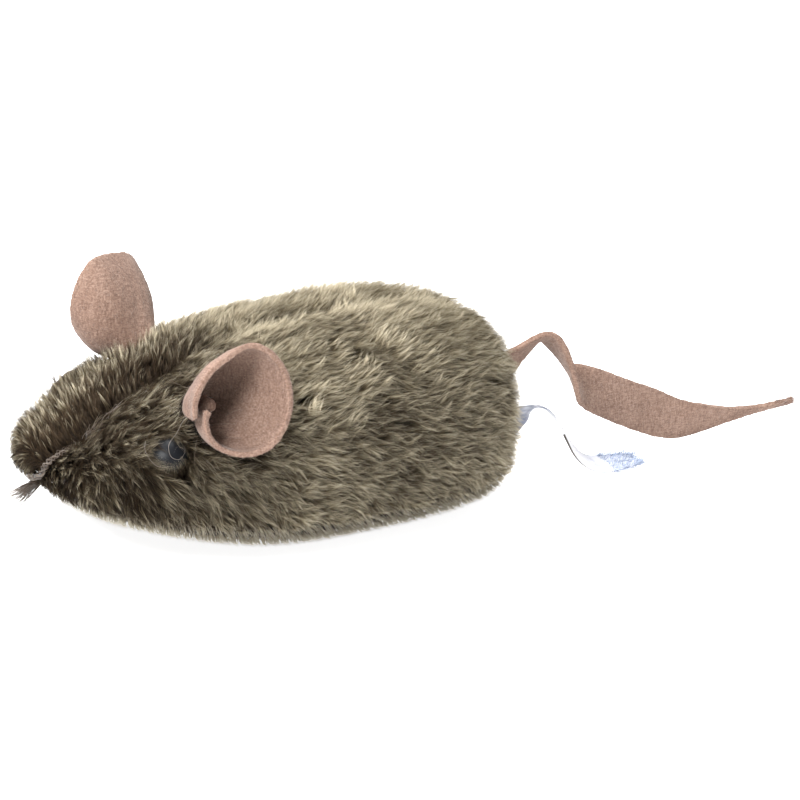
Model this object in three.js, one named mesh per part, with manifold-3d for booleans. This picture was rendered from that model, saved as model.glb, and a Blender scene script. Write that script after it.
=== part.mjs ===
// A plush mouse that squeaks when a cat bats it.
// Two furry side panels meet in a seam over the back, and a belly panel closes them below. They are
// stuffed with fibre, which holds a round sound capsule: three button cells, a circuit board with a ball
// switch that feels the toy move, and a piezo disc behind a grille. Rolled felt ears, a felt tail, a satin
// tape and a tuft of thread are sewn to the outside.
// Millimetres. The nose points along -X, the tail along +X, +Z is up, and the origin lies on the flat patch
// of belly that the toy rests on, midway between nose and rump.
import * as THREE from "three";
import { mergeVertices } from "three/addons/utils/BufferGeometryUtils.js";
import Module from "manifold-3d";

const wasm = await Module();
wasm.setup();

// Fits
const seatGap = 0.3; // between two solids that touch
const rootGap = 0.5; // between the panels and what bends at its seam
const cutOverrun = 2;

// Stuffed body, fur pile included
const bodyLength = 100;
const bodyHalfWidth = 28;
const bodyHeight = 41;
const restCut = 0.5; // how deep the belly is pressed flat
const pileThickness = 6; // knitted backing with its pile
const seamDip = 1.3; // how far the back seam draws the fur in
const seamReach = 3.2;
const widestShare = 0.4;
const crownPower = 2.25;
const basePower = 3;
// Along the body, half-width, top and underside
const bodyRowShares = [
  [0, 0, 0.4, 0.4],
  [0.008, 0.2, 0.455, 0.34],
  [0.03, 0.4, 0.5, 0.295],
  [0.06, 0.555, 0.55, 0.25],
  [0.105, 0.69, 0.625, 0.2],
  [0.16, 0.79, 0.71, 0.155],
  [0.23, 0.88, 0.795, 0.105],
  [0.3, 0.945, 0.865, 0.062],
  [0.38, 0.985, 0.92, 0.025],
  [0.46, 1, 0.96, 0.004],
  [0.56, 0.995, 0.98, 0],
  [0.66, 0.97, 0.992, 0],
  [0.76, 0.93, 1, 0.003],
  [0.84, 0.865, 0.965, 0.012],
  [0.91, 0.76, 0.88, 0.04],
  [0.96, 0.62, 0.76, 0.085],
  [0.99, 0.4, 0.6, 0.165],
  [1, 0, 0.37, 0.37],
];
// Where the belly panel's seam runs: along the body, and up
const bellySeamShares = [
  [-0.04, 0.262],
  [0.05, 0.258],
  [0.12, 0.232],
  [0.2, 0.205],
  [0.33, 0.178],
  [0.6, 0.16],
  [0.86, 0.16],
  [0.96, 0.185],
  [1.04, 0.22],
];
const outerRows = 28;
const outerColumns = 32;
const innerRows = 16;
const innerColumns = 24;

// Felt ears, each an oval rolled into a cup whose ends lap: the left ear's in front, the right ear's behind
const feltThickness = 1.3;
const earWidth = 15.8; // across the mouth, front to back
const earHeight = 19.3; // across the mouth, top to bottom
const earSink = 3.4; // from the pile down to the sewn ring
const earBackRise = 1.6; // how much the whole wall stands above the lapped one
const earRootRadius = 1.9;
const earBulgeShare = 0.85; // 0 is a straight cone
const earNeckShare = 0.5; // up to here the cup narrows to its neck
const earTuckAngle = 22; // how far the inner end runs past the middle of the lap
const earFlapAngle = 8; // how far the outer end runs past it
const earLapAngle = 66; // over which an end leaves the cup's own wall
const earSlitAngle = 18; // between each end and that middle, at the sewn ring
// How far out the ends begin to lap, and where they lap in full
const earLapShares = [0.15, 0.5];
const earSwingRoom = 1.2; // in the pile, for the ear to fold
const earRoomShares = [0, 0.08, 0.16, 0.26, 0.4, 0.7, 1]; // how far out the rings of that room lie
const earRows = 7;
const earColumns = 30;
const earAngle = 59; // up from the widest line of the body
// Where each ear's sewn ring sits along the body, and across its mouth from the lapped side, how far its mouth
// stands off the pile, how much the lap flattens its upper edge, where it leans, where its mouth faces and which
// way the wall opposite the lap lies
const leftEar = {
  alongShare: 0.27,
  rootShare: 0.22,
  depth: 10.5,
  flatShare: 0.6,
  lean: [-0.12, -0.95, 0.22],
  opening: [-0.08, -0.95, 0.28],
  whole: [0.98, -0.12, 0.02],
};
const rightEar = {
  alongShare: 0.288,
  rootShare: 0.26,
  depth: 12,
  flatShare: 0.45,
  lean: [0.06, 0.8, 0.59],
  opening: [-0.46, 0.88, 0.1],
  whole: [-0.92, 0, -0.4],
};

// Felt tail
const tailReach = 80;
const tailRise = 27;
const tailWidth = 9.8;
const tailSteps = 46;
// Along, sideways, up, roll in degrees, and width
const tailRouteShares = [
  [0, 0, 0.79, 4, 0.68],
  [0.05, 0, 0.825, 12, 0.68],
  [0.092, 0, 0.91, 30, 0.64],
  [0.145, 0, 1, 46, 0.58],
  [0.18, 0, 0.98, 72, 0.64],
  [0.217, 0, 0.845, 95, 0.85],
  [0.244, 0, 0.73, 106, 0.92],
  [0.266, 0, 0.64, 120, 0.9],
  [0.295, 0, 0.585, 145, 0.9],
  [0.34, 0, 0.52, 160, 0.94],
  [0.43, 0, 0.4, 166, 0.96],
  [0.52, 0, 0.29, 169, 0.98],
  [0.61, 0, 0.187, 176, 0.88],
  [0.7, 0, 0.158, 190, 0.68],
  [0.78, 0, 0.152, 198, 0.42],
  [0.86, 0, 0.158, 208, 0.24],
  [0.93, 0, 0.17, 220, 0.2],
  [1, 0, 0.185, 230, 0.2],
];

// Satin tape, sewn in below the tail
const tapeReach = 33;
const tapeRise = 15;
const tapeWidth = 7.5;
const tapeThickness = 0.5;
const tapeSteps = 30;
const tapeRouteShares = [
  [0, -0.075, 0.64, 0, 0.8],
  [0.07, -0.08, 0.66, 4, 0.84],
  [0.14, -0.1, 0.8, 24, 0.94],
  [0.2, -0.13, 0.94, 48, 1],
  [0.28, -0.165, 1, 72, 1],
  [0.36, -0.195, 0.87, 88, 1],
  [0.44, -0.225, 0.6, 100, 1],
  [0.52, -0.245, 0.35, 106, 1],
  [0.64, -0.255, 0.17, 102, 1],
  [0.8, -0.245, 0.115, 94, 0.94],
  [1, -0.225, 0.1, 90, 0.8],
];

// Bead eyes, each held by a washer behind the cloth
const eyeRadius = 3.4;
const eyeDome = 2.2;
const eyeSink = 1.9;
const eyeFlange = 0.6;
const shankRadius = 1;
const shankLength = 8.6;
const washerRadius = 4.2;
const washerThickness = 0.8;
const washerBack = 6.6; // behind the bead
const eyeAlongShare = 0.177;
const eyeAngle = 33; // up from the widest line of the body
const eyeSides = 16;

// Tuft of thread at the nose
const tuftLength = 6;
const tuftRadius = 1.6;
const tuftAlongShare = 0.022;
const tuftTurn = [-0.9, -0.12, -0.42];
const tuftProfileShares = [
  [0, 0],
  [0.3, 0.02],
  [0.42, 0.2],
  [0.7, 0.5],
  [1, 0.8],
  [0.92, 0.95],
  [0, 1],
];
const tuftSides = 10;

// Sound capsule
const capsuleRadius = 15;
const capsuleHeight = 16;
const capsuleWall = 1.2;
const capsuleAlongShare = 0.56;
const partingHeight = 9;
const trayHeight = 6.2;
const roundSides = 32;
const smallSides = 12;

// Button cells
const cellRadius = 5.8;
const cellHeight = 5.4;
const cellCapRadius = 4.7;
const cellCapHeight = 0.5;
const cellRing = 6.9; // from the capsule's axis to a cell's
const cellCount = 3;
const contactWidth = 2.6;
const contactThickness = 0.3;
const contactReach = 3.2;

// Circuit board, its chip and the ball switch
const boardThickness = 1;
const chipRadius = 3;
const chipHeight = 1.2;
const chipPlace = [4.5, 5.5];
const switchRadius = 1.5;
const switchBore = 1.1;
const switchLength = 6.6;
const switchPlace = [-1, -4.5];
const plugLength = 1.4;
const pinRadius = 0.35;
const pinLength = 1.6;
const ballRadius = 0.85;
const ballSides = 12;

// Piezo disc, the seat that holds it and the grille above it
const piezoRadius = 10;
const piezoThickness = 0.3;
const ceramicRadius = 6.8;
const ceramicThickness = 0.25;
const seatRingWall = 1.2;
const seatStep = 1.1;
const seatLip = 0.4;
const grilleHoleRadius = 0.8;
const grilleRing = 4.2;
const grilleRingHoles = 6;
const leadRadius = 0.4;
const leadSpread = 2.4;
const leadSteps = 8;

// Case screws
const screwRadius = 0.75;
const screwHeadRadius = 1.5;
const screwHeadHeight = 0.9;
const screwLength = 10;
const screwRing = 11.4;
const pillarRadius = 1.9;
const screwCount = 3;

// Colours
const furMaterial = cloth(0x6e5f4a, 0.95);
const bellyMaterial = cloth(0x7b7263, 0.95);
const feltMaterial = cloth(0x9a7a6a, 0.98);
const tapeMaterial = cloth(0xe4e8f0, 0.45);
const threadMaterial = cloth(0x33291f, 0.9);
const fillingMaterial = cloth(0xf2f0ea, 1);
const eyeMaterial = new THREE.MeshStandardMaterial({ color: 0x15181c, roughness: 0.25, metalness: 0 });
const washerMaterial = new THREE.MeshStandardMaterial({ color: 0xe8e8e4, roughness: 0.5, metalness: 0 });
const caseMaterial = new THREE.MeshStandardMaterial({ color: 0xdfe2e4, roughness: 0.45, metalness: 0 });
const boardMaterial = new THREE.MeshStandardMaterial({ color: 0x2f6b3c, roughness: 0.5, metalness: 0 });
const chipMaterial = new THREE.MeshStandardMaterial({ color: 0x101010, roughness: 0.35, metalness: 0 });
const redMaterial = new THREE.MeshStandardMaterial({ color: 0xb0201c, roughness: 0.5, metalness: 0 });
const steelMaterial = new THREE.MeshStandardMaterial({ color: 0xc9ccd0, roughness: 0.3, metalness: 1 });
const brassMaterial = new THREE.MeshStandardMaterial({ color: 0xc8a44e, roughness: 0.35, metalness: 1 });

const toy = new THREE.Group();

/** A matt material for fur, felt, tape and thread. */
function cloth(color, roughness) {
  return new THREE.MeshStandardMaterial({ color, roughness, metalness: 0 });
}

/** A three.js geometry as a manifold solid. */
function solidOf(geometry) {
  const bare = geometry.clone();
  bare.deleteAttribute("normal");
  bare.deleteAttribute("uv");
  const merged = mergeVertices(bare, 1e-4);
  return new wasm.Manifold(
    new wasm.Mesh({
      numProp: 3,
      vertProperties: merged.attributes.position.array,
      triVerts: new Uint32Array(merged.index.array),
    }),
  );
}

/** A manifold solid as a three.js geometry. */
function geometryOf(solid) {
  const { numProp, numVert, vertProperties, triVerts } = solid.getMesh();
  const places = new Float32Array(numVert * 3);
  for (let i = 0; i < numVert; i++) {
    places.set(vertProperties.subarray(i * numProp, i * numProp + 3), i * 3);
  }
  const geometry = new THREE.BufferGeometry();
  geometry.setAttribute("position", new THREE.BufferAttribute(places, 3));
  geometry.setIndex(new THREE.BufferAttribute(triVerts, 1));
  return geometry;
}

/** Adds a named piece to the toy, or to a group in it. */
function addPiece(name, shape, material, group = toy) {
  const geometry = shape.isBufferGeometry ? shape : geometryOf(shape);
  geometry.computeVertexNormals();
  const mesh = new THREE.Mesh(geometry, material);
  mesh.name = name;
  group.add(mesh);
  return mesh;
}

/** A geometry from rows of points and the index lists of its faces. */
function geometryFrom(points, faces) {
  const geometry = new THREE.BufferGeometry().setFromPoints(points);
  geometry.setIndex(faces);
  return geometry;
}

/** A block between two corners. */
function block(low, high) {
  const size = new THREE.Vector3().subVectors(high, low);
  const centre = new THREE.Vector3().addVectors(low, high).multiplyScalar(0.5);
  return solidOf(new THREE.BoxGeometry(size.x, size.y, size.z).translate(centre.x, centre.y, centre.z));
}

/** An upright cylinder between two heights, at a place across the axis. */
function post(radius, low, high, sides, [x, y] = [0, 0]) {
  const cylinder = new THREE.CylinderGeometry(radius, radius, high - low, sides);
  return solidOf(cylinder.rotateX(Math.PI / 2).translate(x, y, (low + high) / 2));
}

/** Places spread evenly on a ring, starting at a turn given in degrees. */
function ringPlaces(radius, count, start) {
  return Array.from({ length: count }, (_, i) => {
    const angle = THREE.MathUtils.degToRad(start) + (i * 2 * Math.PI) / count;
    return [radius * Math.cos(angle), radius * Math.sin(angle)];
  });
}

/** A turn that carries +Z to one direction and brings +X as near as it can to another. */
function turnTo(upward, forward) {
  const z = new THREE.Vector3(...upward).normalize();
  const x = new THREE.Vector3(...forward);
  x.addScaledVector(z, -x.dot(z)).normalize();
  const y = new THREE.Vector3().crossVectors(z, x);
  return new THREE.Matrix4().makeBasis(x, y, z);
}

/** A table of rows as a smooth function of a share from 0 to 1. */
function rowSpline(table) {
  const curves = [];
  for (let column = 0; column < table[0].length; column += 3) {
    const points = table.map((row) => {
      const [x, y = 0, z = 0] = row.slice(column, column + 3);
      return new THREE.Vector3(x, y, z);
    });
    curves.push(new THREE.CatmullRomCurve3(points, false, "catmullrom"));
  }
  return (share) => curves.flatMap((curve) => curve.getPoint(share).toArray());
}

// Stuffed body

const bodySpline = rowSpline(bodyRowShares);

/** A point of the stuffed form, drawn in by an inset all round. Angle 90 is the back and 270 the belly. */
function bodyPoint(share, angle, inset) {
  const [along, wide, top, under] = bodySpline(share);
  const length = bodyLength - 2 * inset;
  const height = bodyHeight + restCut - 2 * inset;
  const floor = inset - restCut;
  const topZ = floor + top * height;
  const underZ = floor + under * height;
  const widestZ = underZ + widestShare * (topZ - underZ);
  const across = Math.cos(angle);
  const upward = Math.sin(angle);
  const power = 2 / (upward > 0 ? crownPower : basePower);
  const reach = upward > 0 ? topZ - widestZ : widestZ - underZ;
  const y = (bodyHalfWidth - inset) * wide * Math.sign(across) * Math.abs(across) ** power;
  const z = widestZ + reach * Math.sign(upward) * Math.abs(upward) ** power;
  const dip = upward > 0 ? seamDip * Math.exp(-((y / seamReach) ** 2)) * (top - under) : 0;
  return new THREE.Vector3((along - 0.5) * length, y, z - dip);
}

/** The stuffed form as a closed solid: rings of points between a pole at the nose and one at the rump. */
function bodyForm(inset, rows, columns) {
  const points = [bodyPoint(0, 0, inset)];
  const faces = [];
  for (let row = 1; row < rows; row++) {
    for (let column = 0; column < columns; column++) {
      points.push(bodyPoint(row / rows, (2 * Math.PI * column) / columns, inset));
    }
  }
  points.push(bodyPoint(1, 0, inset));
  const last = points.length - 1;
  const place = (row, column) => 1 + (row - 1) * columns + (column % columns);
  for (let column = 0; column < columns; column++) {
    faces.push(0, place(1, column + 1), place(1, column));
    faces.push(last, place(rows - 1, column), place(rows - 1, column + 1));
    for (let row = 1; row < rows - 1; row++) {
      const near = place(row, column);
      const far = place(row + 1, column + 1);
      faces.push(near, place(row, column + 1), far, near, far, place(row + 1, column));
    }
  }
  return solidOf(geometryFrom(points, faces));
}

/** How far through the rows of the body a share of its length lies. */
function rowOf(alongShare) {
  let low = 0;
  let high = 1;
  for (let step = 0; step < 30; step++) {
    const middle = (low + high) / 2;
    if (bodySpline(middle)[0] < alongShare) {
      low = middle;
    } else {
      high = middle;
    }
  }
  return low;
}

/** The outside of the body at a place, with the direction that faces away from it. */
function bodySurface(alongShare, angle) {
  const stepShare = 0.004;
  const row = rowOf(alongShare);
  const point = bodyPoint(row, angle, 0);
  const ahead = bodyPoint(row + stepShare, angle, 0).sub(bodyPoint(row - stepShare, angle, 0));
  const round = bodyPoint(row, angle + stepShare, 0).sub(bodyPoint(row, angle - stepShare, 0));
  return { point, normal: new THREE.Vector3().crossVectors(round, ahead).normalize() };
}

/** Everything under the belly seam, raised by a gap. */
function underBelly(raise) {
  const seam = bellySeamShares.map(
    ([along, up]) => new THREE.Vector2((along - 0.5) * bodyLength, up * bodyHeight + raise),
  );
  const outline = new THREE.Shape();
  outline.moveTo(seam[0].x, -bodyHeight);
  outline.lineTo(seam[0].x, seam[0].y);
  outline.splineThru(seam.slice(1));
  outline.lineTo(seam.at(-1).x, -bodyHeight);
  outline.closePath();
  const depth = 2 * bodyHalfWidth + 2 * cutOverrun;
  const slab = new THREE.ExtrudeGeometry(outline, { depth, bevelEnabled: false, curveSegments: 3 });
  return solidOf(slab.rotateX(Math.PI / 2).translate(0, depth / 2, 0));
}

/** Everything on one side of the back seam. */
function sideOfSeam(side) {
  const near = (side * seatGap) / 2;
  const far = side * (bodyHalfWidth + cutOverrun);
  const reach = bodyLength / 2 + cutOverrun;
  return block(
    new THREE.Vector3(-reach, Math.min(near, far), -bodyHeight),
    new THREE.Vector3(reach, Math.max(near, far), bodyHeight + cutOverrun),
  );
}

/** The space below the surface that the toy rests on. */
function underFloor() {
  const reach = bodyLength / 2 + cutOverrun;
  const side = bodyHalfWidth + cutOverrun;
  return block(new THREE.Vector3(-reach, -side, -bodyHeight), new THREE.Vector3(reach, side, 0));
}

// Bead eyes

/** An eye's place and turn on one side of the head. */
function eyeMatrix(side) {
  const angle = THREE.MathUtils.degToRad(side < 0 ? 180 - eyeAngle : eyeAngle);
  const { point, normal } = bodySurface(eyeAlongShare, angle);
  const matrix = turnTo(normal.toArray(), [0, 0, 1]);
  return matrix.setPosition(point.addScaledVector(normal, -eyeSink));
}

/** A bead with its shank: a dome over a thin flange, looking along +Z. */
function eyeSolid() {
  const dome = new THREE.EllipseCurve(0, 0, eyeRadius, eyeDome, 0, Math.PI / 2).getPoints(5);
  const profile = [
    new THREE.Vector2(0, -shankLength),
    new THREE.Vector2(shankRadius, -shankLength),
    new THREE.Vector2(shankRadius, -eyeFlange),
    new THREE.Vector2(eyeRadius, -eyeFlange),
    ...dome.slice(0, -1),
    new THREE.Vector2(0, eyeDome),
  ];
  return solidOf(new THREE.LatheGeometry(profile, eyeSides).rotateX(Math.PI / 2));
}

/** The washer that is pushed onto a shank. */
function washerSolid() {
  const disc = post(washerRadius, -washerBack - washerThickness, -washerBack, eyeSides);
  return disc.subtract(post(shankRadius + seatGap, -washerBack - cutOverrun, cutOverrun, eyeSides));
}

/** The room that a bead, its shank and its washer take in the cloth and the filling. */
function eyeRoom() {
  const pocket = post(eyeRadius + seatGap, -eyeFlange - seatGap, pileThickness, eyeSides);
  const hole = post(shankRadius + seatGap, -shankLength - seatGap, cutOverrun, smallSides);
  const washerUnder = -washerBack - washerThickness;
  const behind = post(washerRadius + seatGap, washerUnder - seatGap, -washerBack + seatGap, eyeSides);
  return pocket.add(hole).add(behind);
}

/** A solid moved by a matrix. */
function moved(solid, matrix) {
  return solidOf(geometryOf(solid).applyMatrix4(matrix));
}

const eyeMatrices = { left: eyeMatrix(-1), right: eyeMatrix(1) };
for (const [side, matrix] of Object.entries(eyeMatrices)) {
  addPiece(`${side}_eye`, eyeSolid(), eyeMaterial).applyMatrix4(matrix);
  addPiece(`${side}_eye_washer`, washerSolid(), washerMaterial).applyMatrix4(matrix);
}

// Panels and filling

/** Where the sound capsule stands: part way along the body, as low as its rim clears the belly's cloth. */
function capsulePlace() {
  const place = new THREE.Vector3((capsuleAlongShare - 0.5) * bodyLength, 0, 0);
  for (let row = 1; row < outerRows; row++) {
    for (let column = outerColumns / 2; column <= outerColumns; column++) {
      const point = bodyPoint(row / outerRows, (2 * Math.PI * column) / outerColumns, pileThickness);
      if (Math.hypot(point.x - place.x, point.y) < capsuleRadius + seatGap) {
        place.z = Math.max(place.z, point.z + 2 * seatGap);
      }
    }
  }
  return place;
}

/** The three panels of cloth, each a shell as thick as the pile. */
function addPanels() {
  const eyes = Object.values(eyeMatrices).map((matrix) => moved(eyeRoom(), matrix));
  const skin = bodyForm(0, outerRows, outerColumns)
    .subtract(bodyForm(pileThickness, innerRows, innerColumns))
    .subtract(underFloor());
  const rooms = [...eyes, earRoom(earPlaces.left), earRoom(earPlaces.right)];
  const sides = rooms.reduce((cloth, room) => cloth.subtract(room), skin.subtract(underBelly(seatGap)));
  addPiece("left_side_panel", sides.intersect(sideOfSeam(-1)), furMaterial);
  addPiece("right_side_panel", sides.intersect(sideOfSeam(1)), furMaterial);
  addPiece("belly_panel", skin.intersect(underBelly(0)), bellyMaterial);
}

/** The stuffing, with a pocket from below for the capsule. */
function addFilling() {
  const place = capsulePlace();
  const top = place.z + capsuleHeight + seatGap;
  const pocket = post(capsuleRadius + seatGap, 0, top, roundSides, [place.x, place.y]);
  const eyes = Object.values(eyeMatrices).map((matrix) => moved(eyeRoom(), matrix));
  const form = bodyForm(pileThickness + seatGap, innerRows, innerColumns);
  addPiece("fibre_filling", form.subtract(pocket).subtract(eyes[0]).subtract(eyes[1]), fillingMaterial);
}

const earPlaces = {
  left: earPlace(-1, leftEar),
  right: earPlace(1, rightEar),
};
addPanels();
addFilling();

// Ears, tail and tape

/** A sheet of even thickness through the points that a function of two shares gives. */
function sheet(rows, columns, pointAt, thickness) {
  const points = [];
  const faces = [];
  const across = columns + 1;
  const layer = (rows + 1) * across;
  const step = 1 / (8 * Math.max(rows, columns));
  const clamped = (share) => Math.min(1, Math.max(0, share));
  for (const side of [0.5, -0.5]) {
    for (let row = 0; row <= rows; row++) {
      for (let column = 0; column <= columns; column++) {
        const u = row / rows;
        const v = column / columns;
        const ahead = pointAt(clamped(u + step), v).sub(pointAt(clamped(u - step), v));
        const aside = pointAt(u, clamped(v + step)).sub(pointAt(u, clamped(v - step)));
        const normal = ahead.cross(aside).normalize();
        points.push(pointAt(u, v).addScaledVector(normal, side * thickness));
      }
    }
  }
  const quad = (a, b, c, d) => faces.push(a, b, c, a, c, d);
  for (let row = 0; row < rows; row++) {
    for (let column = 0; column < columns; column++) {
      const a = row * across + column;
      quad(a, a + across, a + across + 1, a + 1);
      quad(layer + a, layer + a + 1, layer + a + across + 1, layer + a + across);
    }
    const first = row * across;
    const last = first + columns;
    quad(first, layer + first, layer + first + across, first + across);
    quad(last, last + across, layer + last + across, layer + last);
  }
  for (let column = 0; column < columns; column++) {
    const end = rows * across + column;
    quad(column, column + 1, layer + column + 1, layer + column);
    quad(end, layer + end, layer + end + 1, end + 1);
  }
  return geometryFrom(points, faces);
}

/** An ear's place on one side of the head: its sewn ring faces away from the cloth, its mouth to the side. */
function earPlace(side, { alongShare, rootShare, depth, flatShare, lean, opening, whole }) {
  const angle = THREE.MathUtils.degToRad(side < 0 ? 180 - earAngle : earAngle);
  const { point, normal } = bodySurface(alongShare, angle);
  const mouth = turnTo(opening, whole);
  const centre = new THREE.Vector3((0.5 - rootShare) * earWidth, 0, 0).applyMatrix4(mouth);
  centre.addScaledVector(new THREE.Vector3(...lean).normalize(), depth);
  return {
    root: turnTo(normal.toArray(), whole),
    mouth,
    flatShare,
    centre: centre.addScaledVector(normal, earSink),
    position: point.addScaledVector(normal, -earSink),
  };
}

/** A point of an ear's wall, from its sewn ring at 0 out to its rim at 1, at a turn from the whole wall. */
function earWall({ root, mouth, flatShare, centre }, out, turn, outward) {
  const angle = THREE.MathUtils.degToRad(turn);
  const ahead = Math.cos(angle);
  const upward = Math.sin(angle);
  const flat = 1 - flatShare * Math.max(0, -ahead) * (upward > 0 ? 1 : 0);
  const reach = earRootRadius + outward;
  const ring = new THREE.Vector3(reach * ahead, reach * upward, 0).applyMatrix4(root);
  const shift = new THREE.Vector3(outward * ahead, outward * upward, 0).applyMatrix4(mouth);
  const spread = new THREE.Vector3(
    (earWidth / 2) * ahead,
    (earHeight / 2) * upward * flat,
    (earBackRise / 2) * ahead,
  ).applyMatrix4(mouth);
  const bulge = earBulgeShare * (1 - out) * THREE.MathUtils.smoothstep(out, 0, earNeckShare);
  return ring
    .multiplyScalar(1 - out)
    .addScaledVector(centre, out)
    .addScaledVector(spread, out * (1 + bulge))
    .addScaledVector(shift, out);
}

/** How far a lapped end stands outside the cup's own wall, or inside it, at a turn. */
function earLap(turn) {
  const flapEnd = 180 + earFlapAngle;
  const tuckEnd = 180 + earTuckAngle;
  const outer = THREE.MathUtils.smoothstep(turn, flapEnd - 1.4 * earLapAngle, flapEnd - earLapAngle / 3);
  const inner = THREE.MathUtils.smoothstep(-turn, tuckEnd - earLapAngle, tuckEnd);
  return (outer - inner) * (feltThickness + seatGap);
}

/** An ear: an oval of felt rolled into a cup. Both ears are rolled the same way round. */
function addEar(name, place) {
  const [lapFrom, lapTo] = earLapShares;
  const pointAt = (out, round) => {
    const lapped = THREE.MathUtils.smoothstep(out, lapFrom, lapTo);
    const tuck = THREE.MathUtils.lerp(-earSlitAngle, earTuckAngle, lapped);
    const flap = THREE.MathUtils.lerp(-earSlitAngle, earFlapAngle, lapped);
    const turn = THREE.MathUtils.lerp(-180 - tuck, 180 + flap, round);
    return earWall(place, out, turn, earLap(turn) * THREE.MathUtils.smoothstep(out, 0, lapFrom));
  };
  const ear = addPiece(name, sheet(earRows, earColumns, pointAt, feltThickness), feltMaterial);
  ear.position.copy(place.position);
}

/** The room that an ear takes in the pile, with enough for it to fold. */
function earRoom(place) {
  const columns = earColumns;
  const outward = 2 * feltThickness + 2 * seatGap + earSwingRoom;
  const below = (depth) => new THREE.Vector3(0, 0, -depth).applyMatrix4(place.root);
  const floorDepth = feltThickness / 2 + seatGap;
  const points = [below(floorDepth)];
  const faces = [];
  for (const out of earRoomShares) {
    const depth = out === 0 ? floorDepth : floorDepth + earSwingRoom / 2;
    const aside = out === 0 ? floorDepth : outward;
    for (let column = 0; column < columns; column++) {
      points.push(earWall(place, out, (360 * column) / columns, aside).add(below(depth)));
    }
  }
  points.push(place.centre.clone());
  const rows = (points.length - 2) / columns;
  const at = (row, column) => 1 + row * columns + (column % columns);
  for (let column = 0; column < columns; column++) {
    faces.push(0, at(0, column + 1), at(0, column));
    faces.push(points.length - 1, at(rows - 1, column), at(rows - 1, column + 1));
    for (let row = 0; row < rows - 1; row++) {
      faces.push(at(row, column), at(row, column + 1), at(row + 1, column + 1));
      faces.push(at(row, column), at(row + 1, column + 1), at(row + 1, column));
    }
  }
  return solidOf(geometryFrom(points, faces)).translate(place.position.toArray());
}

/** A strip that starts at the rump and follows a route, rolled about it by degrees. */
function strip(route, { reach, rise, width, thickness, steps, start }) {
  const spline = rowSpline(route);
  const centre = (share) => {
    const [along, aside, up] = spline(share);
    return new THREE.Vector3(start + along * reach, aside * reach, up * rise);
  };
  const pointAt = (share, across) => {
    const step = 1 / (4 * steps);
    const before = Math.max(0, share - step);
    const after = Math.min(1, share + step);
    const ahead = centre(after).sub(centre(before)).normalize();
    const level = new THREE.Vector3().crossVectors(ahead, new THREE.Vector3(0, 0, 1)).normalize();
    const upright = new THREE.Vector3().crossVectors(level, ahead);
    const [roll, wide] = spline(share).slice(3);
    const angle = THREE.MathUtils.degToRad(roll);
    const edge = upright.multiplyScalar(Math.cos(angle)).addScaledVector(level, Math.sin(angle));
    return centre(share).addScaledVector(edge, (across - 0.5) * width * wide);
  };
  return sheet(steps, 2, pointAt, thickness);
}

// Where the two strips leave the rump, which leans in towards its top
const tailStart = bodyLength / 2;
const tapeStart = bodyLength / 2 + rootGap;
addEar("left_ear", earPlaces.left);
addEar("right_ear", earPlaces.right);
addPiece(
  "tail",
  strip(tailRouteShares, {
    reach: tailReach,
    rise: tailRise,
    width: tailWidth,
    thickness: feltThickness,
    steps: tailSteps,
    start: tailStart,
  }),
  feltMaterial,
);
addPiece(
  "satin_tape",
  strip(tapeRouteShares, {
    reach: tapeReach,
    rise: tapeRise,
    width: tapeWidth,
    thickness: tapeThickness,
    steps: tapeSteps,
    start: tapeStart,
  }),
  tapeMaterial,
);

// Nose tuft

/** A tuft of thread that leaves the seam at the nose. */
function addTuft() {
  const profile = tuftProfileShares.map(
    ([out, along]) => new THREE.Vector2(out * tuftRadius, along * tuftLength),
  );
  const threads = new THREE.LatheGeometry(profile, tuftSides).rotateX(Math.PI / 2);
  const tuft = addPiece("nose_tuft", threads, threadMaterial);
  const { point, normal } = bodySurface(tuftAlongShare, 1.5 * Math.PI);
  tuft.applyMatrix4(turnTo(tuftTurn, [0, 0, 1]));
  tuft.position.copy(point).addScaledVector(normal, rootGap);
}

addTuft();

// Sound capsule, in a group of its own: +Z is its axis and its underside is at zero

const capsule = new THREE.Group();
capsule.position.copy(capsulePlace());
toy.add(capsule);

const cellPlaces = ringPlaces(cellRing, cellCount, 90);
const screwPlaces = ringPlaces(screwRing, screwCount, 30);
const cellFloor = capsuleWall + seatGap;
const cellTop = cellFloor + cellHeight;
const boardUnder = partingHeight - seatGap;
const boardTop = boardUnder + boardThickness;
const roofUnder = capsuleHeight - capsuleWall;
const boreRadius = capsuleRadius - capsuleWall;
const boardRadius = boreRadius - seatGap;
const screwHoleRadius = screwRadius + seatGap;

/** The lower shell: a tray with a round pocket for each cell and a pillar for each screw. */
function addCaseBase() {
  let base = post(capsuleRadius, 0, partingHeight, roundSides);
  base = base.subtract(post(boreRadius, trayHeight, partingHeight + cutOverrun, roundSides));
  for (const place of screwPlaces) {
    base = base.add(post(pillarRadius, capsuleWall, boardUnder - seatGap, smallSides, place));
  }
  for (const place of cellPlaces) {
    base = base.subtract(post(cellRadius + seatGap, capsuleWall, partingHeight, roundSides, place));
  }
  for (const place of screwPlaces) {
    base = base.subtract(post(screwHoleRadius, capsuleWall, partingHeight + cutOverrun, smallSides, place));
  }
  addPiece("sound_case_base", base, caseMaterial, capsule);
}

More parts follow.
